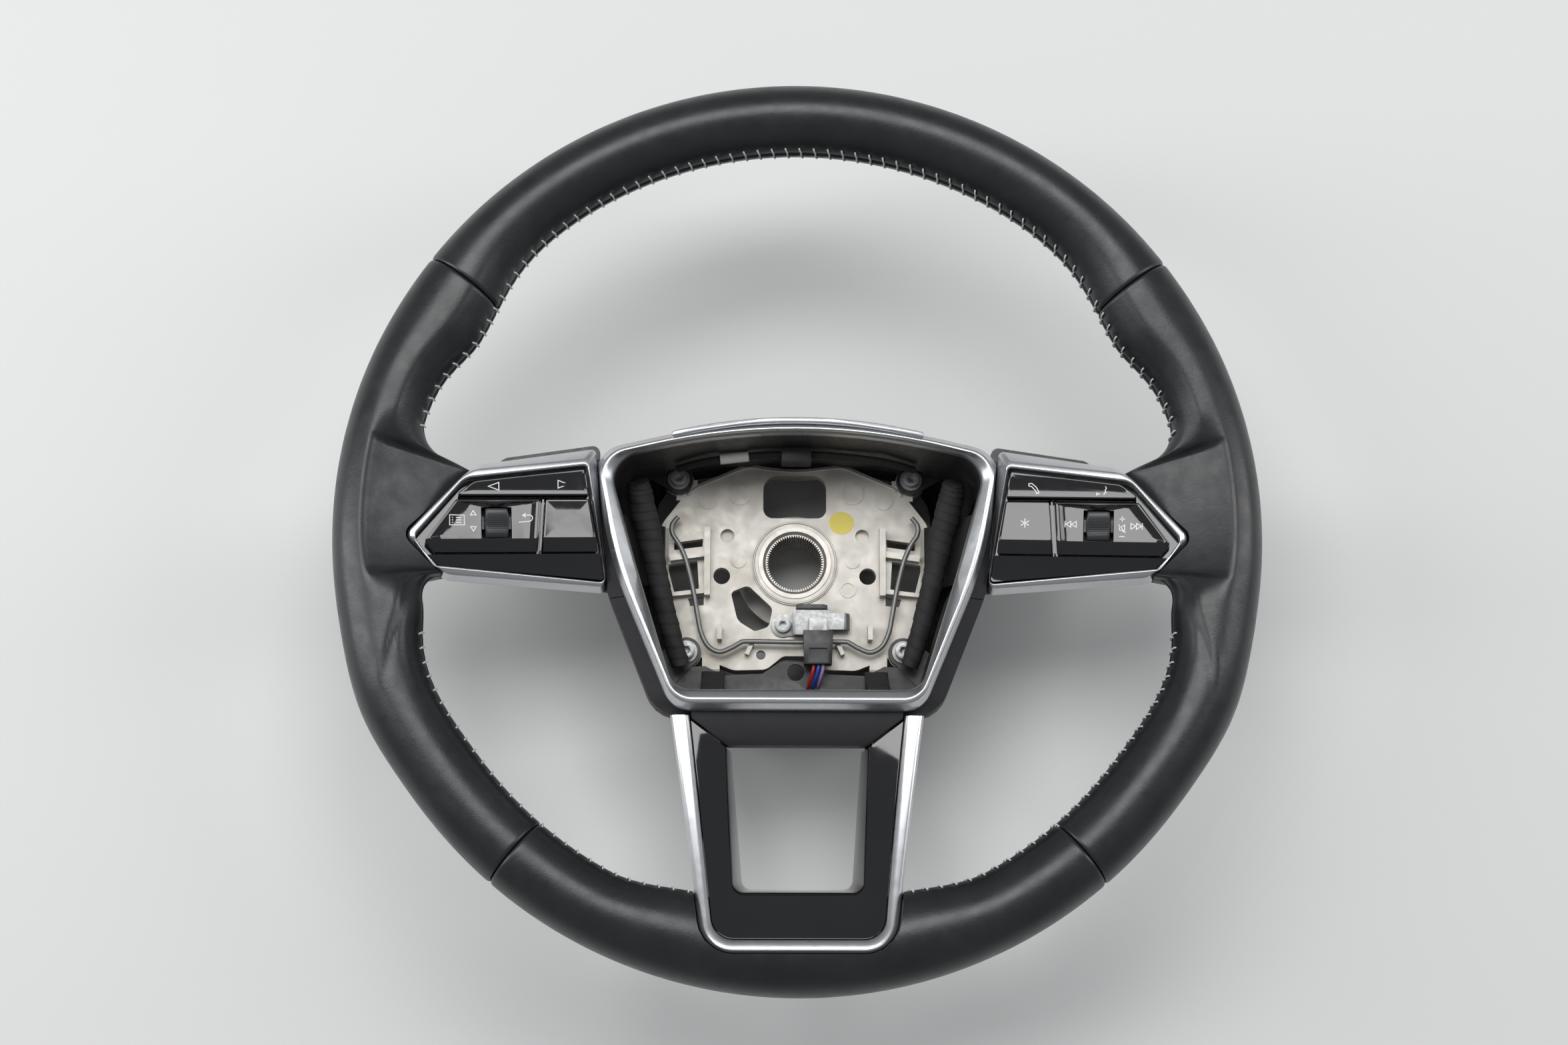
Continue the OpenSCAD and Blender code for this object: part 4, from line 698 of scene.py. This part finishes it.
def trims(pods):
    loops = [at_z(rounded(BEZEL_OUT), BEZEL_Z - 8), at_z(rounded(BEZEL_OUT), BEZEL_Z - 5),
             at_z(rounded(BEZEL_CREST), BEZEL_Z - 0.6), at_z(rounded(grown(BEZEL_CREST, -1.6)), BEZEL_Z),
             at_z(rounded(grown(BEZEL_IN, 0.8)), BEZEL_Z - 2.6), at_z(rounded(BEZEL_IN), BEZEL_Z - 3.6),
             at_z(rounded(BEZEL_IN), BEZEL_Z - 8)]
    obj = hoop("bezel_frame", softened(loops, [0.2, 1.6, 1, 1, 0.8, 0.5, 0.2]), "satin_silver",
               stands_for=("hub_bezel",))
    cut(obj, pods)
    lip = [[51.6, 40.4, 0.8], [51, 42.8, 1.2], [0, 54, 215], [-51, 42.8, 1.2], [-51.6, 40.4, 0.8],
           [0, 51.4, 215]]
    loops = [at_z(rounded(lip), BEZEL_Z - 5), at_z(rounded(lip), BEZEL_Z + 1.5),
             at_z(rounded(grown(lip, -0.15)), BEZEL_Z + 1.8),
             at_z(rounded(grown(lip, -0.5)), BEZEL_Z + 2)]
    obj = capped("bezel_lip", loops, "satin_silver")
    for side, word in ((-1, "left"), (1, "right")):
        place = pod_frame(side)

        def loop(corners, z):
            outline = rounded(corners)
            return place(at_z(outline, z + pod_fall(outline[:, 1])))
        loops = [place(at_z(rounded(POD_FOOT), -14)), loop(POD_OUT, -5), loop(POD_CREST, -0.5),
                 loop(grown(POD_IN, 0.7), 0), loop(POD_IN, -0.8), place(at_z(rounded(POD_IN), -14))]
        obj = hoop(word + "_pod_frame", softened(loops, [0.2, 1.5, 0.9, 0.5, 0.35, 0.2]),
                   "satin_silver", stands_for=(word + "_pod_bezel",))
    u_swept("lower_u", [u_rail(U_OUT, -72, -5), u_rail(U_OUT, -72, -1.6),
                        u_rail(widened(U_OUT, -1.2), -72, -0.3), u_rail(U_CREST, -72, 0),
                        u_rail(U_IN, -72, -1), u_rail(U_IN, -72, -5)],
            [0.2, 0.9, 0.9, 1, 0.6, 0.2], "satin_silver", ("lower_spoke_trim",))
    edge = widened(U_IN, -0.3)
    u_swept("lower_liner", [u_rail(edge, -74, -7), u_rail(edge, -74, -1.8), u_rail(WINDOW_TOP, -84.8, -5),
                            u_rail(WINDOW, -84.8, -22), u_rail(widened(WINDOW, 2.2), -84.8, -22),
                            u_rail(widened(WINDOW_TOP, 2.2), -84.8, -7.6),
                            u_rail(widened(edge, -2.2), -75.6, -4.4),
                            u_rail(widened(edge, -2.2), -75.6, -7)],
            [0.2, 0.5, 2, 0.2, 0.2, 1, 0.4, 0.2], "black_gloss", ("lower_spoke_insert",))


# Keys

def key_face(y):
    """Height of a key's top in the pod's frame: level, then falling along the front skirt."""
    return np.where(y >= FRONT_Y, KEY_TOP, KEY_TOP + (y - FRONT_Y) * 3.4 / 5.7)


def with_sides(corners, n=8, parts=8):
    """A rounded outline with points added on its straight sides."""
    loop = rounded(corners, n)
    made = []
    for i in range(len(corners)):
        made += list(loop[i * (n + 1):(i + 1) * (n + 1)])
        a, b = made[-1], loop[(i + 1) * (n + 1) % len(loop)]
        made += [a + (b - a) * k / parts for k in range(1, parts)]
    return np.array(made)


def key_sides(corners):
    """From a key's foot up its sides to the start of its rounded edge."""
    foot, near = with_sides(corners), with_sides(grown(corners, -0.12))
    return [at_z(foot, KEY_LOW), at_z(foot, key_face(foot[:, 1]) - 0.55),
            at_z(near, key_face(near[:, 1]) - 0.2)]


def frame_key_loops():
    """Over the key's thin rim, down its bowl and through the roller's slot."""
    crest, slot = with_sides(grown(FRAME_RIM, -0.3)), with_sides(SLOT)
    loops = key_sides(FRAME_KEY) + [at_z(with_sides(grown(FRAME_RIM, -0.05)), KEY_TOP - 0.12),
                                    at_z(crest, KEY_TOP)]
    for share in (0.03, 0.07, 0.12, 0.19, 0.28, 0.4, 0.56, 0.78, 1):
        ring = mix(crest, slot, share)
        away = np.linalg.norm(ring - crest, axis=1)
        loops.append(at_z(ring, KEY_TOP - BOWL * ease((away - 0.4) / 3.6)))
    return loops + [at_z(slot, KEY_LOW)]


def plain_key_loops(corners, crest, steps, rise):
    loops = key_sides(corners)
    for d, drop in steps:
        ring = with_sides(grown(crest, d))
        loops.append(at_z(ring, KEY_TOP - drop + rise(ring[:, 1])))
    return loops


def key_cap(word, key, loops, place, hollow=False):
    """Adds a key's cap and gives the height of its top at any place, for the print on it."""
    make = hoop if hollow else capped
    obj = make(word + "_" + key + "_cap", [place(loop) for loop in loops], "key_black",
               body=word + "_" + key, stands_for=(word + "_" + key,), angle=40)
    faces = grid(len(loops), len(loops[0]))
    if not hollow:
        faces.append(tuple(range(len(faces), len(faces) + len(loops[0]))))
    tree = BVHTree.FromPolygons([tuple(p) for p in np.concatenate(loops)], faces)

    def top_at(p):
        hit = tree.ray_cast((p[0], p[1], 10), (0, 0, -1))[0]
        return hit[2] if hit is not None else KEY_TOP
    return top_at


def roller_tread(word, place):
    """The roller with its fine ribs, rounded shoulders and stub axle."""
    x0, y0, z0 = ROLLER
    per_rib = 6
    angles = np.arange(RIBS * per_rib) * 2 * math.pi / (RIBS * per_rib)
    ribs = 0.5 + 0.5 * np.cos(angles * RIBS)
    half = ROLLER_W / 2
    loops = []
    for x, r, share in ((-half - 1.2, 1, 0), (-half, 1, 0), (-half, ROLLER_R - 0.9, 0),
                        (-half + 0.15, ROLLER_R - 0.4, 0.2), (-half + 0.5, ROLLER_R - 0.1, 0.8),
                        (-half + 0.9, ROLLER_R, 1), (half - 0.9, ROLLER_R, 1),
                        (half - 0.5, ROLLER_R - 0.1, 0.8), (half - 0.15, ROLLER_R - 0.4, 0.2),
                        (half, ROLLER_R - 0.9, 0), (half, 1, 0), (half + 1.2, 1, 0)):
        radius = r - 0.36 * share * ribs
        loops.append(place(np.column_stack([np.full(len(angles), x0 + x), y0 + radius * np.cos(angles),
                                            z0 + radius * np.sin(angles)])))
    obj = capped(word + "_roller_tread", loops, "roller_grey", body=word + "_roller",
                 stands_for=(word + "_roller",), angle=30)


def keys():
    """All keys and rollers; returns the heights of their tops by side and key."""
    tops = {}
    single_top = [[16, FRONT_Y, 0.8], [37, FRONT_Y, 0.8], [34.8, SPLIT_Y - 0.2, 0.8],
                  [17.4, SPLIT_Y - 0.2, 0.8]]
    for side, word in ((-1, "left"), (1, "right")):
        place = pod_frame(side)
        tops[word, "frame_key"] = key_cap(word, "frame_key", frame_key_loops(), place, hollow=True)
        tops[word, "single_key"] = key_cap(word, "single_key", plain_key_loops(
            SINGLE_KEY, single_top, [(-0.05, 0.12), (-0.3, 0), (-0.8, 0.02), (-2.6, 0.09), (-4.6, 0.12)],
            lambda y: 0 * y), place)
        tops[word, "rocker"] = key_cap(word, "rocker", plain_key_loops(
            ROCKER, ROCKER, [(-0.12, 0.2), (-0.35, 0.04), (-0.7, 0), (-1.3, 0.06), (-2.2, 0.1)],
            lambda y: 0.7 * ease((y - 17.6) / 6)), place)
        roller_tread(word, place)
    return tops


def ribbon(route, width, closed=False):
    """The two edges of a thin flat line along a route, in the pod's frame."""
    route = [np.array(p, float) for p in route]
    count = len(route)
    left, right = [], []
    for i, p in enumerate(route):
        before = route[i - 1] if (closed or i) else None
        after = route[(i + 1) % count] if (closed or i < count - 1) else None
        u = unit(p - before) if before is not None else unit(after - p)
        v = unit(after - p) if after is not None else u
        n1, n2 = np.array([-u[1], u[0]]), np.array([-v[1], v[0]])
        m = unit(n1 + n2)
        out = m * min(2.5, 1 / max(0.3, float(m @ n1))) * width / 2
        left.append(p + out)
        right.append(p - out)
    return left, right


def print_mesh(strokes, width, level, place, reach=0.16):
    """All strokes of one symbol as raised white print, following the surface's height."""
    parts = []
    for route, closed in strokes:
        left, right = ribbon(route, width, closed)
        count = len(left)
        points = []
        for l, r in zip(left, right):
            top_l, top_r = level(l), level(r)
            points += [[*l, top_l + 0.05], [*r, top_r + 0.05], [*r, top_r - reach], [*l, top_l - reach]]
        faces = grid(count, 4, closed=closed)
        if not closed:
            faces += [(3, 2, 1, 0), tuple(4 * (count - 1) + i for i in range(4))]
        parts.append((place(np.array(points)), faces))
    return joined(parts)


def arc(cx, cy, r, a0, a1, n=12):
    return [(cx + r * math.cos(math.radians(mix(a0, a1, k / n))),
             cy + r * math.sin(math.radians(mix(a0, a1, k / n)))) for k in range(n + 1)]


def triangle(cx, cy, w, h, point):
    """An outlined triangle whose tip points left, right, up or down."""
    if point in ("left", "right"):
        d = -1 if point == "left" else 1
        return ([(cx + d * w / 2, cy), (cx - d * w / 2, cy + h / 2), (cx - d * w / 2, cy - h / 2)], True)
    d = 1 if point == "up" else -1
    return ([(cx, cy + d * h / 2), (cx + w / 2, cy - d * h / 2), (cx - w / 2, cy - d * h / 2)], True)


def box_line(x0, y0, x1, y1):
    return ([(x0, y0), (x1, y0), (x1, y1), (x0, y1)], True)


def symbols(tops):
    """Generic signs on the keys; x runs away from the rim in each pod's frame."""
    left = {
        "rocker": [triangle(-3.5, 18.4, 4.2, 3.1, "left"), triangle(24.5, 19.2, 4.2, 3.1, "right")],
        "frame_key": [box_line(-21.1, 2.9, -15.3, 6.8), triangle(-11.7, 7.8, 2.2, 1.8, "up"),
                      triangle(-11.7, 1.2, 2.2, 1.8, "down")]
        + [([(-18.6, y), (-16.4, y)], False) for y in (5.9, 4.9, 3.9)]
        + [([(-20.2, y), (-19.7, y)], False) for y in (5.9, 4.9, 3.9)]
        + [([(6.4, 3.9), (10.4, 4.2), *arc(10.6, 5.5, 1.3, -80, 80, 8), (8.2, 6.7)], False),
           ([(9.3, 7.5), (8.0, 6.7), (9.3, 5.9)], False)],
    }
    phone = [(21.7, 16.6), (22.6, 16.5), (22.9, 17.5), (24.6, 19.3), (25.7, 19.5), (25.8, 20.4),
             (24.6, 20.6), (22.9, 19.2), (21.9, 17.7)]
    talk = [([(-4.4, 16.2), (-4.6, 17.0), (-5.3, 17.2), (-4.9, 18.0), (-5.4, 19.0), (-5.0, 19.7)],
             False)]
    talk += [(arc(-3.4, 16.6, r, 200, 160, 5), False) for r in (-0.7, -1.3, -1.9)]
    star = [([(27 - 1.9 * math.cos(a), 4.2 - 1.9 * math.sin(a)),
              (27 + 1.9 * math.cos(a), 4.2 + 1.9 * math.sin(a))], False)
            for a in (math.pi / 2, math.pi / 6, -math.pi / 6)]
    speaker = [(-10.9, 3.4), (-11.8, 3.4), (-12.9, 4.2), (-12.9, 1.2), (-11.8, 2.0), (-10.9, 2.0)]
    right = {
        "rocker": [(phone, True)] + talk,
        "single_key": star,
        "frame_key": [
            ([(10.9, 5.5), (10.9, 2.9)], False), triangle(9.6, 4.2, 2.0, 2.4, "right"),
            triangle(7.4, 4.2, 2.0, 2.4, "right"), ([(-19.9, 5.0), (-19.9, 2.4)], False),
            triangle(-18.6, 3.7, 2.0, 2.4, "left"), triangle(-16.4, 3.7, 2.0, 2.4, "left"),
            ([(-13.0, 6.6), (-10.8, 6.6)], False), ([(-11.9, 7.7), (-11.9, 5.5)], False),
            ([(-13.0, -0.6), (-10.8, -0.6)], False), (speaker, True),
            ([(-10.4, 4.4), (-13.3, 1.0)], False)],
    }
    for side, word, drawn in ((-1, "left", left), (1, "right", right)):
        for key, strokes in drawn.items():
            points, faces = print_mesh(strokes, 0.34, tops[word, key], pod_frame(side), 0.3)
            piece(word + "_" + key + "_print", points, faces, "print_white", body=word + "_" + key)


# Hub

def flat_ring(cx, cy, r, width, height, z, n=48):
    """A low raised ring with sloping sides."""
    profile = [(-width / 2, -0.2), (-width * 0.32, height * 0.8), (-width * 0.12, height),
               (width * 0.12, height), (width * 0.32, height * 0.8), (width / 2, -0.2)]
    loops = []
    for k in range(n):
        a = 2 * math.pi * k / n
        loops.append([[cx + (r + w) * math.cos(a), cy + (r + w) * math.sin(a), z + h] for w, h in profile])
    return np.concatenate(loops), grid(n, len(profile), closed=True)


def plate_lip():
    """The casting's thin raised edge along its top, a little uneven as cast."""
    outline = rounded(grown(PLATE, -1), 24)
    upper = [p for p in outline if p[1] > 22]
    upper.sort(key=lambda p: p[0])
    route = np.array([[p[0], p[1] - 0.2, PLATE_TOP + 0.15 + 0.12 * math.sin(p[0] * 0.9)] for p in upper])
    shape = [(-0.75, -0.4), (-0.5, 0.5), (-0.15, 0.85), (0.2, 0.85), (0.55, 0.5), (0.8, -0.4)]
    points = []
    for i, p in enumerate(route):
        d = unit(route[min(i + 1, len(route) - 1)] - route[max(i - 1, 0)])
        out = np.array([-d[1], d[0], 0])
        swell = 0.75 + 0.25 * math.sin(i * 0.37)
        points += [p + out * w + [0, 0, h * swell] for w, h in shape]
    cols = len(shape)
    faces = grid(len(route), cols) + [tuple(range(cols - 1, -1, -1)),
                                      tuple(range((len(route) - 1) * cols, len(route) * cols))]
    obj = piece("plate_lip", points, faces, "cast_alloy", angle=60)


def wire():
    """The bent wire, smooth and round."""
    half = [[x, y, PLATE_TOP + 5.4] for x, y in WIRE_HALF]
    whole = [[-p[0], p[1], p[2]] for p in half[:0:-1]] + half
    route, sizes = finer(whole, [WIRE_D / 2], 7)
    points, faces = tube_mesh(route, sizes, 16)
    obj = piece("spring_wire_bar", points, faces, "spring_steel", stands_for=("spring_wire",), angle=60)


def hub_detail():
    points, faces = flat_ring(0, 0, 17.6, 1.5, 1.5, PLATE_TOP, 96)
    obj = piece("boss_collar", points, faces, "cast_alloy")
    loops = [[[20.1 + 5.3 * math.cos(a), 17.8 + 5.0 * math.sin(a), PLATE_TOP + h]
              for a in np.linspace(0, 2 * math.pi, 40, endpoint=False)] for h in (0.03, 0.14)]
    capped("paper_dot", [np.array(l) for l in loops], "paper_dot")
    plate_lip()
    wire()


def taped_arm(name, stations, width, place):
    """Cloth tape wound round one of the casting's arms where it leaves the hub plate."""
    loops = []
    fine = 14
    for i in range((len(stations) - 1) * fine + 1):
        k, t = min(i // fine, len(stations) - 2), i / fine - min(i // fine, len(stations) - 2)
        top, low = (mix(np.array(stations[k][n], float), np.array(stations[k + 1][n], float), t)
                    for n in (0, 1))
        middle, half = (top + low) / 2, (top - low) / 2
        half = half * (1 + TAPE_T / np.linalg.norm(half))
        loop = []
        for a in np.linspace(0, 2 * math.pi, 56, endpoint=False):
            c, h = math.cos(a), math.sin(a)
            edge = 0.12 * ((i * 0.21 + a / (2 * math.pi)) % 1)
            across = math.copysign(abs(c) ** 0.14, c) * (width / 2 + TAPE_T + edge)
            high = math.copysign(abs(h) ** 0.14, h) * (1 + edge / np.linalg.norm(half))
            loop.append([middle[0] + half[0] * high, across, middle[1] + half[1] * high])
        loops.append(place(np.array(loop)))
    obj = capped(name, loops, "loom_tape", angle=50)


def taped_arms():
    side_arm = [((-55.6, 29.4), (-55.6, 24.4)), ((-66, 40), (-62.6, 30)), ((-71.5, 52.3), (-71, 43.7)),
                ((-77, 64.5), (-78.5, 56))]
    low_arm = [((-47.4, 31), (-48.8, 23.4)), ((-56, 46), (-60, 37.4)), ((-66, 55.6), (-69, 48.2)),
               ((-76, 65), (-78, 57.8))]
    for sign, word in ((1, "left"), (-1, "right")):
        taped_arm(word + "_arm_tape", side_arm, 26.6, lambda p, sign=sign: (p + [0, 2, 0]) * [sign, 1, 1])
        taped_arm(word + "_low_arm_tape", low_arm, 8.8, lambda p, sign=sign: np.column_stack(
            [-sign * (p[:, 1] + 34.4 - (p[:, 0] + 45) * 0.026), p[:, 0], p[:, 2]]))


def looms():
    for side, word in ((-1, "left"), (1, "right")):
        route, sizes = finer(LOOM, LOOM_R, 22)
        route = route * [1 if side < 0 else -1, 1, 1]

        def wrap(i, angle):
            turn = (i * 0.115 * 0.9 + angle / (2 * math.pi)) % 1
            return 0.34 * turn - 0.15 + 0.12 * math.sin(3 * angle + i * 0.21)
        points, faces = tube_mesh(route, sizes, 28, wrap)
        obj = piece(word + "_loom_wrap", points, faces, "loom_tape",
                    stands_for=(word + "_loom",), angle=60)
    route, sizes = finer(TOP_LOOM, [1.5], 24)

    def thin_wrap(i, angle):
        return 0.12 * ((i * 0.13 + angle / (2 * math.pi)) % 1) - 0.04
    points, faces = tube_mesh(route, sizes, 18, thin_wrap)
    obj = piece("top_loom_wrap", points, faces, "loom_tape", stands_for=("top_loom",), angle=60)
    for i, look in enumerate(("lead_red", "lead_blue", "lead_violet")):
        shift = [(i - 1) * 2.1, i * 0.4, 0]
        route, sizes = finer(np.array(LEADS) + shift, [0.75], 8)
        points, faces = tube_mesh(route, sizes, 14)
        obj = piece("lead_" + str(i), points, faces, look,
                    stands_for=("connector_leads",) if i == 0 else (), angle=60)


# Stage

def area_light(name, place, aim, size, power, tone=(1, 1, 1)):
    light = bpy.data.lights.new(name, "AREA")
    light.shape = "RECTANGLE"
    light.size, light.size_y = size
    light.energy = power
    light.color = tone
    obj = bpy.data.objects.new(name, light)
    bpy.context.scene.collection.objects.link(obj)
    obj.location = place
    direction = (np.array(aim) - np.array(place))
    obj.rotation_mode = "QUATERNION"
    obj.rotation_quaternion = Vector(direction).to_track_quat("-Z", "Y")


def stage():
    mesh = bpy.data.meshes.new("floor")
    half, level = 3, -0.008
    mesh.from_pydata([(-half, -half, level), (half, -half, level), (half, half, level),
                      (-half, half, level)], [], [(0, 1, 2, 3)])
    obj = bpy.data.objects.new("floor", mesh)
    bpy.context.scene.collection.objects.link(obj)
    mesh.materials.append(MATERIALS["floor"])
    area_light("key_light", (-0.15, 0.62, 1.75), (0, 0, 0.05), (1.5, 0.8), 21)
    area_light("left_strip", (-1.25, 0.1, 0.8), (0, 0, 0.08), (0.35, 1.4), 9)
    area_light("right_strip", (1.3, 0.25, 0.9), (0, 0, 0.08), (0.4, 1.3), 7)
    world = bpy.data.worlds.new("room")
    world.use_nodes = True
    world.node_tree.nodes["Background"].inputs["Color"].default_value = (0.93, 0.96, 1, 1)
    world.node_tree.nodes["Background"].inputs["Strength"].default_value = 0.3
    bpy.context.scene.world = world
    camera = bpy.data.cameras.new("camera")
    camera.lens = 52.04
    camera.sensor_width = 36
    camera.clip_start = 0.05
    camera.clip_end = 20
    eye = bpy.data.objects.new("camera", camera)
    bpy.context.scene.collection.objects.link(eye)
    eye.matrix_world = Matrix(((0.99986, -0.00524, -0.01594, -0.0202),
                               (0.00181, 0.97815, -0.20789, -0.1851),
                               (0.01668, 0.20783, 0.97802, 0.9833), (0, 0, 0, 1)))
    bpy.context.scene.camera = eye
    bpy.context.scene.view_settings.view_transform = "Standard"
    bpy.context.scene.view_settings.look = "None"


def dress_nodes():
    """Smooth faces parted at sharp edges; small crisp parts get a fine bevel."""
    bevelled = ("carrier_screws", "clip_screw", "contact_clip", "clip_block", "connector",
                "connector_tab", "top_bracket", "paddle_pins")
    for name, obj in NODES.items():
        obj.data.materials.clear()
        obj.data.materials.append(MATERIALS[NODE_LOOK[name]])
        if obj.hide_render:
            continue
        weld = obj.modifiers.new("weld", "WELD")
        weld.merge_threshold = WELD_GAP * MM
        if name in bevelled:
            soften = obj.modifiers.new("edges", "BEVEL")
            soften.width = SOFT_EDGE * MM
            soften.segments = 2
            soften.limit_method = "ANGLE"
            soften.angle_limit = math.radians(38)
            soften.use_clamp_overlap = True
        parted = obj.modifiers.new("parted", "EDGE_SPLIT")
        parted.split_angle = math.radians(32)
        for face in obj.data.polygons:
            face.use_smooth = True


pod_cutters = rim()
trims(pod_cutters)
for used in pod_cutters:
    bpy.data.objects.remove(used)
symbols(keys())
hub_detail()
looms()
taped_arms()
dress_nodes()
stage()

bpy.context.view_layer.update()
